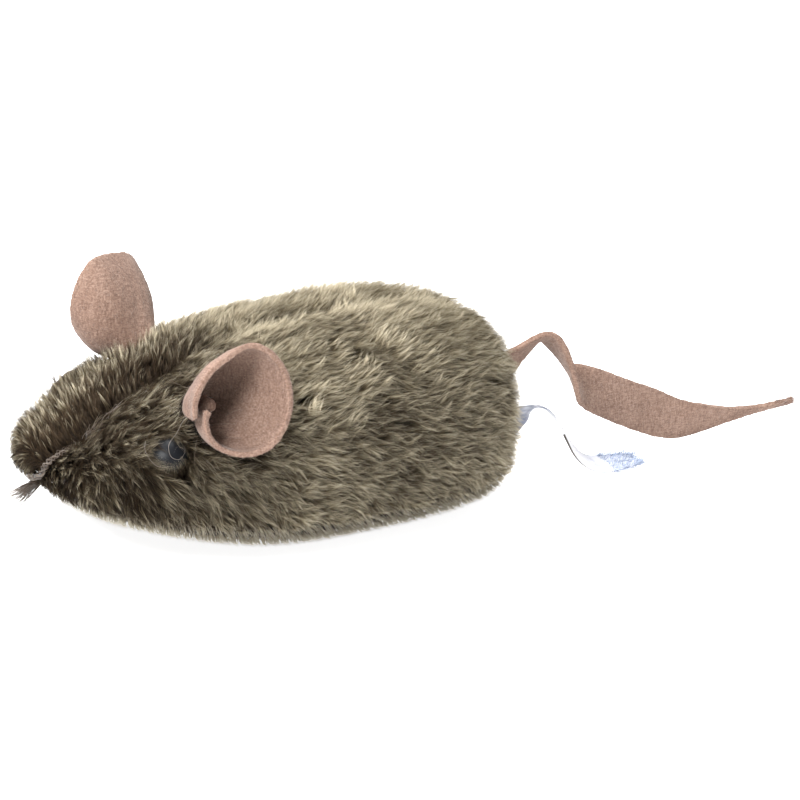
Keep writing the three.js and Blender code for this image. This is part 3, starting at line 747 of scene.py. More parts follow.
def root_of_strip(node: str) -> Array:
    """Where a strip leaves the rump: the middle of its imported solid's near end.

    Args:
        node: the solid's node.

    Returns:
        The point.
    """
    bm = copy_of_node(node)
    points = np.array([v.co for v in bm.verts])
    bm.free()
    return points[points[:, 0] < points[:, 0].min() + 1.0 * MM].mean(0)


def values_of(items: bpy.types.bpy_prop_collection, name: str) -> Array:
    """A vector property of all items of a mesh, as rows of an array.

    Args:
        items: the mesh's vertices.
        name: the property's name.

    Returns:
        The rows.
    """
    flat = np.empty(len(items) * 3, np.float32)
    items.foreach_get(name, flat)
    return flat.reshape(-1, 3).astype(float)


def ruffled(mesh: Mesh, amount: float, size: float) -> None:
    """Moves a mesh's points a little along their normals, in a smooth random pattern.

    Args:
        mesh: the mesh.
        amount: how far a point moves at most.
        size: how wide the pattern's waves are.
    """
    points, normals = values_of(mesh.vertices, "co"), values_of(mesh.vertices, "normal")
    heights = np.array([noise.noise(Vector(point) / size) for point in points])
    moved = points + normals * (amount * heights)[:, None]
    mesh.vertices.foreach_set("co", moved.astype(np.float32).ravel())
    mesh.update()


@dataclass(frozen=True)
class Strand:
    """One fibre: a slender three-sided spike in a few stretches, to be copied many times."""

    stretches: int = 2
    taper: float = 1.0

    def template(self) -> tuple[Array, Array, Array, Array]:
        """The fibre's own mesh.

        Returns:
            Its points across its middle line, the share of the way from root to tip at each point, the
            corners of its triangles, and where each corner lies in the fibre's map.
        """
        bm = bmesh.new()
        bmesh.ops.create_cone(bm, cap_ends=True, segments=3, radius1=1, radius2=0, depth=1)
        bmesh.ops.translate(bm, verts=bm.verts, vec=(0, 0, 0.5))
        for cut in range(1, self.stretches):
            geometry = bm.verts[:] + bm.edges[:] + bm.faces[:]
            height = (0, 0, cut / self.stretches)
            bmesh.ops.bisect_plane(bm, geom=geometry, dist=1e-6, plane_co=height, plane_no=(0, 0, 1))
        bmesh.ops.triangulate(bm, faces=bm.faces)
        bm.verts.index_update()
        points = np.array([v.co for v in bm.verts])
        corners = np.array([[v.index for v in f.verts] for f in bm.faces])
        places = np.array([[self._map_place(v.co, f) for v in f.verts] for f in bm.faces])
        bm.free()
        return points[:, :2], points[:, 2], corners, places

    @staticmethod
    def _map_place(corner: Vector, face: BMFace) -> tuple[float, float]:
        """Where a corner of a face lies in the fibre's map: across its column, and from root to tip.

        Args:
            corner: the corner.
            face: its face.

        Returns:
            The place in the map.
        """
        middle = face.calc_center_median()
        if max(v.co.z for v in face.verts) < 1e-6:
            return (0.5 + 0.5 * corner.x, 0.02 * (corner.y > 0))
        turn = math.atan2(corner.y, corner.x) - math.atan2(middle.y, middle.x)
        aside = 0.5 if corner.xy.length < 1e-6 else 0.5 + 0.5 * math.copysign(1, math.sin(turn))
        return (aside, corner.z)


FRAYED = Strand(stretches=4, taper=0.4)


@dataclass
class Fibres:
    """Many fibres, each along a curve from its root over its knee to its tip."""

    root: Array
    knee: Array
    tip: Array
    radius: Array
    tone: Array
    kind: Strand = field(default_factory=Strand)

    def picked(self, keep: Array) -> "Fibres":
        """The fibres that a mask keeps."""
        values = (self.root, self.knee, self.tip, self.radius, self.tone)
        return Fibres(*(value[keep] for value in values), self.kind)

    def along(self, share: float) -> Array:
        """The point of each fibre at a share of its way from root to tip."""
        rest = 1 - share
        return rest * rest * self.root + 2 * rest * share * self.knee + share * share * self.tip

    def sides(self, share: float) -> tuple[Array, Array]:
        """Two directions across each fibre at a share of its way.

        Args:
            share: not used.

        Returns:
            The two directions, in rows.
        """
        upright = unit(self.tip - self.root)
        level = unit(np.cross(upright, np.array([0.31, 0.17, 0.93])))
        return level, np.cross(upright, level)

    def mesh(self, name: str) -> Mesh:
        """All the fibres as one mesh, with a map of their tones.

        Args:
            name: the mesh's name.

        Returns:
            The mesh.
        """
        across, share, corners, places = self.kind.template()
        count, size = len(self.root), len(share)
        points = np.empty((count, size, 3))
        for i in range(size):
            level, other = self.sides(share[i])
            wide = self.radius * max(1e-3, (1 - share[i]) ** self.kind.taper if share[i] < 1 else 1e-3)
            offset = level * across[i, 0] + other * across[i, 1]
            points[:, i] = self.along(share[i]) + offset * wide[:, None]
        faces = corners[None] + size * np.arange(count)[:, None, None]
        column = np.floor(np.clip(self.tone, 0, 0.999) * TONE_COLUMNS)
        maps = np.empty((count, *places.shape))
        maps[..., 0] = (column[:, None, None] + 0.1 + 0.8 * places[None, ..., 0]) / TONE_COLUMNS
        maps[..., 1] = 0.01 + 0.98 * places[None, ..., 1]
        mesh = bpy.data.meshes.new(name)
        mesh.vertices.add(count * size)
        mesh.vertices.foreach_set("co", points.ravel())
        mesh.loops.add(faces.size)
        mesh.loops.foreach_set("vertex_index", faces.ravel().astype(np.int32))
        mesh.polygons.add(len(corners) * count)
        mesh.polygons.foreach_set("loop_start", np.arange(0, faces.size, 3, dtype=np.int32))
        mesh.uv_layers.new(name=STRAND_MAP).data.foreach_set("uv", maps.ravel())
        mesh.update(calc_edges=True)
        mesh.polygons.foreach_set("use_smooth", np.full(len(mesh.polygons), True))
        mesh.validate()
        return mesh


@dataclass
class Threads(Fibres):
    """Longer fibres, each along a smooth curve through its own knots."""

    knots: Array = field(default_factory=lambda: np.zeros((0, 2, 3)))

    @staticmethod
    def through(knots: Array, radius: Array, tone: Array, kind: Strand) -> "Threads":
        """Threads through rows of knots."""
        return Threads(knots[:, 0], knots[:, len(knots[0]) // 2], knots[:, -1], radius, tone, kind, knots)

    def along(self, share: float) -> Array:
        """The point of each thread at a share of its way.

        Args:
            share: the share of the way from root to tip.

        Returns:
            The points.
        """
        before = 2 * self.knots[:, :1] - self.knots[:, 1:2]
        after = 2 * self.knots[:, -1:] - self.knots[:, -2:-1]
        row = np.concatenate([before, self.knots, after], 1)
        at = min(max(share, 0.0), 0.9999) * (self.knots.shape[1] - 1)
        return curve_through(*(row[:, int(at) + i] for i in range(4)), at - int(at))

    def sides(self, share: float) -> tuple[Array, Array]:
        """Two directions across each thread where it runs at a share of its way.

        Args:
            share: the share of the way from root to tip.

        Returns:
            The two directions, in rows.
        """
        ahead = unit(self.along(share + 0.01) - self.along(share - 0.01))
        level = unit(np.cross(ahead, np.array([0.55, 0.76, -0.35])))
        return level, np.cross(ahead, level)


@dataclass(frozen=True)
class Wisps:
    """How loose fibres leave their roots: ahead, straying from that way, with a turn at their knees.

    The lengths are the least and the greatest one in millimetres. The shares tell how much of a length lies
    before the knee and after it.
    """

    ahead: Place
    stray: float
    lengths: tuple[float, float]
    shares: tuple[float, float]
    turn: float = 0.5

    def grown(self, rng: Generator, root: Array) -> tuple[Array, Array]:
        """The fibres' places beyond their roots.

        Args:
            rng: the source of chance.
            root: where the fibres start.

        Returns:
            Their knees and their tips.
        """
        count = len(root)
        way = unit(np.array(self.ahead) + rng.normal(0, self.stray, (count, 3)))
        length = rng.uniform(*self.lengths, count)[:, None] * MM
        knee = root + way * self.shares[0] * length
        turned = unit(way + rng.normal(0, self.turn, (count, 3)))
        return knee, knee + turned * self.shares[1] * length


def add_fibres(name: str, fibres: Fibres, finish: Finish, body: str) -> Object:
    """Puts fibres into the scene as a piece of the mouse."""
    return add_piece(name, fibres.mesh(name), finish, body)


# The stuffed body


@dataclass(frozen=True)
class BodyForm:
    """The stuffed form: sections across a line from the nose to the rump, fur pile included.

    A row of the table gives shares: along the body, half-width, top and underside.
    """

    length: float
    half_width: float
    height: float
    rest_cut: float = 0.5 * MM
    seam_dip: float = 1.3 * MM
    seam_reach: float = 3.2 * MM
    widest_share: float = 0.4
    crown_power: float = 2.25
    base_power: float = 3.0
    normal_step: float = 0.004
    row_shares: tuple[tuple[float, ...], ...] = (
        (0, 0, 0.4, 0.4),
        (0.008, 0.2, 0.455, 0.34),
        (0.03, 0.4, 0.5, 0.295),
        (0.06, 0.555, 0.55, 0.25),
        (0.105, 0.69, 0.625, 0.2),
        (0.16, 0.79, 0.71, 0.155),
        (0.23, 0.88, 0.795, 0.105),
        (0.3, 0.945, 0.865, 0.062),
        (0.38, 0.985, 0.92, 0.025),
        (0.46, 1, 0.96, 0.004),
        (0.56, 0.995, 0.98, 0),
        (0.66, 0.97, 0.992, 0),
        (0.76, 0.93, 1, 0.003),
        (0.84, 0.865, 0.965, 0.012),
        (0.91, 0.765, 0.92, 0.025),
        (0.96, 0.62, 0.83, 0.05),
        (0.99, 0.41, 0.69, 0.11),
        (1, 0, 0.37, 0.37),
    )
    belly_seam_shares: tuple[tuple[float, float], ...] = (
        (-0.04, 0.262),
        (0.05, 0.258),
        (0.12, 0.232),
        (0.2, 0.205),
        (0.33, 0.178),
        (0.6, 0.16),
        (0.86, 0.16),
        (0.96, 0.185),
        (1.04, 0.22),
    )
    parting_shares: tuple[tuple[float, float], ...] = (
        (0.0, 0.15),
        (0.04, 0.215),
        (0.08, 0.19),
        (0.16, 0.185),
        (0.24, 0.16),
        (0.32, 0.1),
        (0.45, 0.0),
    )

    def share(self, points: Array) -> Array:
        """How far along the body points lie, from 0 at the nose to 1 at the rump."""
        return points[:, 0] / self.length + 0.5

    def section(self, row: Array) -> Array:
        """The table's shares at places through its rows from 0 to 1, on a smooth curve through them.

        Args:
            row: places through the table's rows, from 0 to 1.

        Returns:
            The shares: along the body, half-width, top and underside.
        """
        table = np.array(self.row_shares)
        table = np.vstack([2 * table[0] - table[1], table, 2 * table[-1] - table[-2]])
        at = np.clip(row, 0, 1) * (len(self.row_shares) - 1)
        start = np.minimum(at.astype(int), len(self.row_shares) - 2)
        return curve_through(*(table[start + i] for i in range(4)), (at - start)[..., None])

    def point(self, row: Array, angle: Array, inset: Array) -> Array:
        """Points of the form, drawn in by an inset. Angle 90 degrees is the back, and 270 the belly.

        Args:
            row: places through the table's rows, from 0 to 1.
            angle: angles round the form, in radians.
            inset: how far the points are drawn in.

        Returns:
            The points, in rows.
        """
        along, wide, top, under = np.moveaxis(self.section(np.asarray(row, float)), -1, 0)
        height = self.height + self.rest_cut - 2 * inset
        floor = inset - self.rest_cut
        top_z, under_z = floor + top * height, floor + under * height
        widest_z = under_z + self.widest_share * (top_z - under_z)
        across, upward = np.cos(angle), np.sin(angle)
        power = np.where(upward > 0, 2 / self.crown_power, 2 / self.base_power)
        reach = np.where(upward > 0, top_z - widest_z, widest_z - under_z)
        y = (self.half_width - inset) * wide * np.sign(across) * np.abs(across) ** power
        z = widest_z + reach * np.sign(upward) * np.abs(upward) ** power
        valley = self.seam_dip * np.exp(-((y / self.seam_reach) ** 2)) * (top - under)
        dip = np.where(upward > 0, valley, 0)
        x = (along - 0.5) * (self.length - 2 * inset)
        return np.stack([x, y, z - dip], -1)

    def normal(self, row: Array, angle: Array) -> Array:
        """The directions that face away from the form.

        Args:
            row: places through the table's rows, from 0 to 1.
            angle: angles round the form, in radians.

        Returns:
            The directions, in rows.
        """
        step = self.normal_step
        ahead = self.point(np.minimum(row + step, 1), angle, 0)
        behind = self.point(np.maximum(row - step, 0), angle, 0)
        round_it = self.point(row, angle + step, 0) - self.point(row, angle - step, 0)
        return unit(np.cross(round_it, ahead - behind))

    def over_belly_seam(self, points: Array) -> Array:
        """How far points lie above the seam of the belly panel."""
        seam = np.array(self.belly_seam_shares)
        return points[:, 2] - np.interp(self.share(points), seam[:, 0], seam[:, 1]) * self.height

    def beside_parting(self, points: Array) -> Array:
        """How far points lie to the right of the line over the head where the pile parts."""
        line = np.array(self.parting_shares)
        return points[:, 1] + np.interp(self.share(points), line[:, 0], line[:, 1]) * self.half_width


@dataclass(frozen=True)
class Spread:
    """How much a property of the pile differs by chance, by lock, tuft and fibre, and by patch."""

    lock: float
    tuft: float
    fibre: float = 0.0
    patch: float = 0.0


@dataclass
class Gathering:
    """Which lock and tuft each fibre is gathered into, the middles of both, and each fibre's patch."""

    lock: Array
    lock_middles: Array
    tuft: Array
    tuft_middles: Array
    patch: Array

    def differing(self, rng: Generator, spread: Spread) -> Array:
        """A chance value for each fibre, alike in a lock and in a tuft.

        Args:
            rng: the source of chance.
            spread: how much the value differs.

        Returns:
            The values.
        """
        value = rng.normal(0, spread.lock, len(self.lock_middles))[self.lock]
        value += rng.normal(0, spread.tuft, len(self.tuft_middles))[self.tuft]
        value += spread.patch * self.patch
        if spread.fibre:
            value += rng.normal(0, spread.fibre, len(self.lock))
        return value


@dataclass
class Plush:
    """The fur fabric and what is in it: the backing cloth, the pile of each panel and the stuffing."""

    form: BodyForm
    seed: int = 11
    pile_depth: float = 4.8 * MM
    belly_depth: float = 1.5 * MM
    lash_comb: Array = field(default_factory=lambda: np.array([0.75, 0.1, -0.65]))
    belly_rise: float = 0.9 * MM
    lash_length: float = 0.8
    fibre_radius: float = 0.11 * MM
    fibres_per_mm2: float = 15.5
    guard_share: float = 0.05
    pale_share: float = 0.24
    belly_fibres_per_mm2: float = 2.8
    belly_lean: float = 0.9
    belly_knee: float = 0.7
    belly_scatter: float = 0.12 * MM
    belly_floor_gap: float = 0.1 * MM
    belly_tone: float = 0.5
    belly_tone_spread: float = 0.22
    grid: tuple[int, int] = (260, 320)
    lock_spacing: float = 2.0 * MM
    tuft_spacing: float = 0.6 * MM
    twist: Spread = Spread(0.30, 0.26, 0.10, 0.5)
    stretch: Spread = Spread(0.16, 0.12)
    rise: Spread = Spread(0.08, 0.12, 0.05, 0.12)
    paleness: Spread = Spread(0.07, 0.28, 0.1, 0.2)
    guard_rise: float = 0.25
    guard_paler: float = 0.1
    guard_width: float = 0.6
    snout_rise: float = 0.5
    bead_rise: float = 0.4
    bead_reach: float = 1.7
    strip_rise: float = 0.42
    strip_reach: float = 4.5 * MM
    ridge_drop: float = 0.16
    valley_drop: float = 0.5
    lock_pull: float = 0.2
    tuft_pull: tuple[float, float] = (0.55, 0.3)
    knee_height: float = 0.8
    knee_spread: float = 0.22
    tuft_tones: tuple[float, float] = (0.36, -0.12)
    least_depth: float = 0.35
    seam_thinning: float = 0.55
    side_comb: float = 0.15
    parting_comb: float = 0.9
    body_comb_share: float = 0.35
    rump_fall: float = 0.25
    head_fall: float = 0.9
    lean: float = 0.9
    crest_lean: float = 0.5
    rump_lean: float = 0.1
    back_paler: float = 0.45
    seam_paler: float = 0.16
    crest_darker: float = 0.45
    far_crest_paler: float = 0.6
    valley_darker: float = 0.5
    parting_reach: float = 7 * MM
    valley_reach: float = 2.2 * MM
    patch_sizes: tuple[tuple[float, float], ...] = ((7 * MM, 1.0), (3 * MM, 0.6))
    backing_share: float = 0.92
    backing_rest: float = 0.25
    floor_gap: float = 0.2 * MM
    stuffing_ruffle: tuple[float, float] = (0.2 * MM, 3 * MM)
    fall_shares: tuple[tuple[float, ...], tuple[float, ...]] = ((0.1, 0.42, 0.8), (-0.5, -0.12, 0.16))
    zone_ends: tuple[tuple[str, float], ...] = (
        ("snout", -0.026),
        ("shoulder", -0.005),
        ("flank", 0.013),
        ("haunch", 0.031),
        ("rump", 0.06),
    )
    tone_shares: tuple[tuple[float, ...], tuple[float, ...]] = (
        (0.0, 0.12, 0.26, 0.36, 0.46, 0.6, 0.8, 0.93, 1.0),
        (0.1, 0.02, 0.22, 0.46, 0.76, 0.52, 0.58, 0.72, 0.82),
    )

    def scatter(self, rng: Generator, density: float, below: bool) -> tuple[Array, Array]:
        """Spreads places evenly over the form's surface.

        Args:
            rng: the source of chance.
            density: places on each square millimetre.
            below: whether the belly panel is wanted, or else the two side panels.

        Returns:
            The rows and the angles of the places.
        """
        rows, columns = self.grid
        row_edges = np.linspace(0.0, 1.0, rows + 1)
        angle_edges = np.linspace(0, 2 * math.pi, columns + 1)
        middles = ((edges[:-1] + edges[1:]) / 2 for edges in (row_edges, angle_edges))
        middle_row, middle_angle = np.meshgrid(*middles, indexing="ij")
        grid = self.form.point(*np.meshgrid(row_edges, angle_edges, indexing="ij"), 0)
        first = grid[1:, 1:] - grid[:-1, :-1]
        second = grid[:-1, 1:] - grid[1:, :-1]
        area = np.linalg.norm(np.cross(first, second), axis=-1).ravel() / 2
        places = self.form.point(middle_row, middle_angle, 0).reshape(-1, 3)
        is_belly = self.form.over_belly_seam(places) < self.belly_rise
        weight = np.where(is_belly == below, area, 0)
        count = int(weight.sum() / MM**2 * density)
        cell = rng.choice(len(weight), size=count, p=weight / weight.sum())
        row = middle_row.ravel()[cell] + (rng.random(count) - 0.5) / rows
        angle = middle_angle.ravel()[cell] + (rng.random(count) - 0.5) * 2 * math.pi / columns
        return row, angle

    def combing(self, places: Array, normals: Array) -> Array:
        """Which way the pile is combed. The length is the tangent of how far each fibre leans.

        Args:
            places: places on the form, in rows.
            normals: the directions away from the form there.

        Returns:
            The combed directions, in rows.
        """
        share, aside = self.form.share(places), self.form.beside_parting(places)
        head = self.head(share)
        side = np.where(aside > 0, 1.0, -1.0)
        near = np.exp(-np.abs(aside) / self.parting_reach)
        strength = self.body_comb_share + (1 - self.body_comb_share) * head
        sideways = side * (self.side_comb + self.parting_comb * near * strength)
        fall = np.interp(places[:, 2] / self.form.height, *self.fall_shares)
        down = fall - self.rump_fall * smooth(0.75, 1.0, share) - self.head_fall * head
        want = np.stack([np.ones(len(places)), sideways, down], -1)
        flat = want - (want * normals).sum(-1, keepdims=True) * normals
        lean = self.lean - self.crest_lean * self.crest(places, normals)
        lean -= self.rump_lean * smooth(0.93, 1.0, share)
        return unit(flat) * lean[:, None]

    @staticmethod
    def head(share: Array) -> Array:
        """1 over the head, and 0 over the body."""
        return 1 - smooth(0.22, 0.46, share)

    def crest(self, places: Array, normals: Array) -> Array:
        """1 where the pile stands up, on the right of the parting over the head."""
        standing = smooth(-0.4 * MM, 1.5 * MM, self.form.beside_parting(places))
        return standing * smooth(-0.1, 0.4, normals[:, 2]) * self.head(self.form.share(places))

    def valley(self, places: Array) -> Array:
        """1 along the parting over the head, where the pile is pressed down, and 0 away from it."""
        across = (self.form.beside_parting(places) - 0.7 * MM) / self.valley_reach
        return np.exp(-(across**2)) * (1 - smooth(0.3, 0.46, self.form.share(places)))

    def tone(self, places: Array, normals: Array) -> Array:
        """How pale the pile is, before chance: 0 is the darkest brown and 1 the palest grey.

        Args:
            places: places on the form, in rows.
            normals: the directions away from the form there.

        Returns:
            The tones.
        """
        share, aside = self.form.share(places), self.form.beside_parting(places)
        tone = np.interp(share, *self.tone_shares)
        tone += self.back_paler * smooth(0.35, 0.95, normals[:, 2]) * smooth(0.34, 0.5, share)
        near_seam = smooth(6 * MM, 0.5 * MM, self.form.over_belly_seam(places))
        tone += self.seam_paler * near_seam * smooth(0.1, 0.25, share)
        far = self.far_crest_paler * smooth(6 * MM, 14 * MM, aside)
        tone += self.crest(places, normals) * (far - self.crest_darker)
        return tone - self.valley_darker * self.valley(places)

    def locks(self, rng: Generator, places: Array, spacing: float) -> tuple[Array, Array]:
        """Gathers the fibres into locks.

        Args:
            rng: the source of chance.
            places: where the fibres' tips lie.
            spacing: the usual distance between two locks.

        Returns:
            The number of each fibre's lock, and the middles of the locks.
        """
        wanted = max(8, int(len(places) / (self.fibres_per_mm2 * (spacing / MM) ** 2)))
        middles = places[rng.choice(len(places), size=wanted, replace=False)]
        tree = KDTree(len(middles))
        for i, middle in enumerate(middles):
            tree.insert(middle, i)
        tree.balance()
        return np.fromiter((tree.find(place)[1] for place in places), int, len(places)), middles

    def pile(self, beads: "list[BeadRoom]") -> Fibres:
        """The long pile of the two side panels, which rises round the beads.

        Args:
            beads: the beads.

        Returns:
            The fibres.
        """
        rng = np.random.default_rng(self.seed)
        row, angle = self.scatter(rng, self.fibres_per_mm2, below=False)
        place, normal = self.form.point(row, angle, 0), self.form.normal(row, angle)
        count = len(place)
        lock, middles = self.locks(rng, place, self.lock_spacing)
        tuft, small = self.locks(rng, place, self.tuft_spacing)
        groups = Gathering(lock, middles, tuft, small, self.patches(middles)[lock])
        guard = rng.random(count) < self.guard_share
        comb = self.combing(place, normal)
        twist = groups.differing(rng, self.twist)
        aside = np.cross(normal, comb)
        comb = comb * np.cos(twist)[:, None] + aside * np.sin(twist)[:, None]
        comb *= (1 + groups.differing(rng, self.stretch))[:, None]
        rise = groups.differing(rng, self.rise) + self.guard_rise * guard * rng.random(count)
        rise += self.raised(place, normal, beads)
        depth = self.depth(place)
        tip = place + (rise * depth)[:, None] * normal
        pull = rng.random(count)[:, None]
        tip += self.lock_pull * pull * (middles[lock] - place)
        tip += (self.tuft_pull[0] + self.tuft_pull[1] * pull) * (small[tuft] - place)
        root = place - normal * depth[:, None] - comb * depth[:, None]
        knee = root + normal * (self.knee_height * depth)[:, None]
        knee += comb * ((1 - self.knee_height) * depth)[:, None]
        knee += aside * (rng.normal(0, self.knee_spread, len(small))[tuft] * depth)[:, None]
        tone = self.tone(place, normal) + groups.differing(rng, self.paleness) + self.guard_paler * guard
        tone += np.where(rng.random(len(small)) < self.pale_share, *self.tuft_tones)[tuft]
        tip[:, 2] = np.maximum(tip[:, 2], self.floor_gap)
        radius = self.fibre_radius * (0.8 + 0.5 * rng.random(count))
        radius *= np.where(guard, self.guard_width, 1.0)
        return Fibres(root, knee, tip, radius, np.clip(tone, 0.01, 0.99))

    def raised(self, places: Array, normals: Array, beads: "list[BeadRoom]") -> Array:
        """How far the tips stand above the form before chance, in shares of the pile's depth.

        Args:
            places: places on the form, in rows.
            normals: the directions away from the form there.
            beads: the beads.

        Returns:
            The heights.
        """
        share = self.form.share(places)
        rise = self.snout_rise * smooth(0.1, 0.02, share) * smooth(-0.2, 0.5, normals[:, 2])
        for bead in beads:
            rise += self.bead_rise * nearness(places, bead.middle, self.bead_reach * bead.radius)
        for node in ("tail", "satin_tape"):
            rise += self.strip_rise * nearness(places, root_of_strip(node), self.strip_reach)
        ridge = smooth(0.7, 0.95, normals[:, 2]) * smooth(0.3, 0.4, share) * smooth(0.68, 0.58, share)
        return rise - self.ridge_drop * ridge - self.valley_drop * self.valley(places)

    def depth(self, places: Array) -> Array:
        """How deep the pile is: less on the snout and along the seam of the belly panel.

        Args:
            places: places on the form, in rows.

        Returns:
            The depths, in metres.
        """
        near_seam = smooth(5 * MM, 0.5 * MM, self.form.over_belly_seam(places))
        thin = smooth(0.0, 0.09, self.form.share(places)) * (1 - self.seam_thinning * near_seam)
        return self.pile_depth * (self.least_depth + (1 - self.least_depth) * thin)

    def patches(self, middles: Array) -> Array:
        """A slow, smooth change from lock to lock, from about -1 to 1.

        Args:
            middles: the middles of the locks.

        Returns:
            The value of each lock.
        """
        return sum(
            share * np.array([noise.noise(Vector(m) / size) for m in middles])
            for size, share in self.patch_sizes
        )

    def belly_pile(self) -> Fibres:
        """The short, smooth pile of the belly panel.

        Returns:
            The fibres.
        """
        rng = np.random.default_rng(self.seed + 1)
        row, angle = self.scatter(rng, self.belly_fibres_per_mm2, below=True)
        place, normal = self.form.point(row, angle, 0), self.form.normal(row, angle)
        count = len(place)
        comb = self.combing(place, normal) * self.belly_lean
        depth = self.belly_depth * (0.8 + 0.4 * rng.random(count))
        root = place - (normal + comb) * depth[:, None]
        knee = root + normal * (self.belly_knee * depth)[:, None]
        tip = place + rng.normal(0, self.belly_scatter, (count, 3))
        tip[:, 2] = np.maximum(tip[:, 2], self.belly_floor_gap)
        tone = self.belly_tone + rng.normal(0, self.belly_tone_spread, count)
        radius = self.fibre_radius * (0.8 + 0.4 * rng.random(count))
        return Fibres(root, knee, tip, radius, tone)

    def backing(self) -> Mesh:
        """The knitted cloth that the pile grows from, as the closed surface of the stuffed body.

        Returns:
            The mesh.
        """
        bm = bmesh.new()
        bmesh.ops.create_uvsphere(bm, u_segments=96, v_segments=72, radius=1)
        bmesh.ops.rotate(bm, verts=bm.verts, matrix=Matrix.Rotation(-math.pi / 2, 3, "Y"))
        unit_places = np.array([v.co for v in bm.verts])
        row = np.arccos(np.clip(-unit_places[:, 0], -1, 1)) / math.pi
        angle = np.arctan2(unit_places[:, 2], unit_places[:, 1]) % (2 * math.pi)
        outer = self.form.point(row, angle, 0)
        over = self.form.over_belly_seam(outer)
        deeper = self.pile_depth * self.backing_share - self.belly_depth
        inset = self.belly_depth + deeper * smooth(-1.0 * MM, 2.5 * MM, over)
        inside = np.minimum(smooth(0.0, 0.1, row), smooth(1.0, 0.93, row))
        inset *= self.backing_rest + (1 - self.backing_rest) * inside
        for vertex, place in zip(bm.verts, self.form.point(row, angle, inset)):
            vertex.co = place
        bmesh.ops.recalc_face_normals(bm, faces=bm.faces)
        return mesh_of("fur_backing", bm)

    def build(self, clear_of: "list[Clearance]", beads: "list[BeadRoom]") -> None:
        """Makes the backing, the piles and the stuffing.

        Args:
            clear_of: the pieces in the fur that its fibres keep out of.
            beads: the beads that its fibres partly cover.
        """
        cloth = add_piece("fur_backing", self.backing(), BACKING, PLUSH_BODY)
        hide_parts("left_side_panel", "right_side_panel", "belly_panel")
        pile = self.pile(beads)
        keep = np.ones(len(pile.root), bool)
        for clearance in (*clear_of, *beads):
            keep &= clearance.leaves(pile)
        pile = pile.picked(keep)
        for side in Side:
            self._side_pieces(pile.picked(np.sign(pile.root[:, 1]) == side.value), side)
        for side, bead in zip(Side, beads):
            comb = self.lash_comb * np.array([1, -side.value, 1])
            lashes = bead.lashes(comb, self.lash_length * self.pile_depth)
            add_fibres(f"{side.word}_eye_lashes", lashes, SIDE_FUR, PLUSH_BODY)
        belly = add_fibres("belly_pile", self.belly_pile(), BELLY_FUR, PLUSH_BODY)
        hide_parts("belly_panel")
        self._stuffing()

    def _side_pieces(self, pile: Fibres, side: Side) -> None:
        """One side panel's pile, in zones from the snout to the rump.

        Args:
            pile: the panel's fibres.
            side: the side.
        """
        start = -self.form.length
        for zone, end in self.zone_ends:
            inside = (pile.root[:, 0] >= start) & (pile.root[:, 0] < end)
            start = end
            fibres = pile.picked(inside)
            piece = add_fibres(f"{side.word}_{zone}_pile", fibres, SIDE_FUR, PLUSH_BODY)
            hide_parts(f"{side.word}_side_panel")

    def _stuffing(self) -> None:
        """The fibre filling, with a soft, uneven surface."""
        bm = copy_of_node("fibre_filling")
        axes = dict.fromkeys(("use_axis_x", "use_axis_y", "use_axis_z"), True)
        bmesh.ops.smooth_vert(bm, verts=bm.verts, factor=0.2, **axes)
        mesh = mesh_of("stuffing", bm)
        ruffled(mesh, *self.stuffing_ruffle)
        piece = add_piece("stuffing", mesh, STUFFING, PLUSH_BODY)
        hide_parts("fibre_filling")


@dataclass
class Clearance:
    """The room that a cup of felt takes in the fur: its wall, and all that lies inside it."""

    hull: Array
    wall: BVHTree
    thickness: float = 1.8 * MM
    margin: float = 0.15 * MM
    tested_shares: tuple[float, ...] = (0.35, 0.5, 0.65, 0.8, 0.9, 1.0)

    @staticmethod
    def planes(bm: BMesh) -> Array:
        """The planes round a copy of a bmesh: a direction out of it and a distance in each row.

        Args:
            bm: the bmesh.

        Returns:
            The planes.
        """
        bm = bm.copy()
        bmesh.ops.convex_hull(bm, input=bm.verts)
        rows = np.array([(*f.normal, f.normal.dot(f.verts[0].co)) for f in bm.faces])
        points = np.array([v.co for v in bm.verts])
        bm.free()
        outside = (points @ rows[:, :3].T - rows[:, 3]).max(0) < 1e-6
        return rows[outside]

    def leaves(self, fibres: Fibres) -> Array:
        """A mask of the fibres that stay out of the room.

        Args:
            fibres: the fibres.

        Returns:
            The mask.
        """
        kept = np.ones(len(fibres.root), bool)
        for share in self.tested_shares:
            points = fibres.along(share)
            depth = (points @ self.hull[:, :3].T - self.hull[:, 3]).max(-1)
            kept &= depth > -self.thickness
            for i in np.flatnonzero(kept & (depth < self.margin)):
                kept[i] = self._free(Vector(points[i]))
        return kept

    def _free(self, point: Vector) -> bool:
        """Whether a point lies outside the felt."""
        place, normal, _, distance = self.wall.find_nearest(point)
        return distance > self.margin and (point - place).dot(normal) > 0


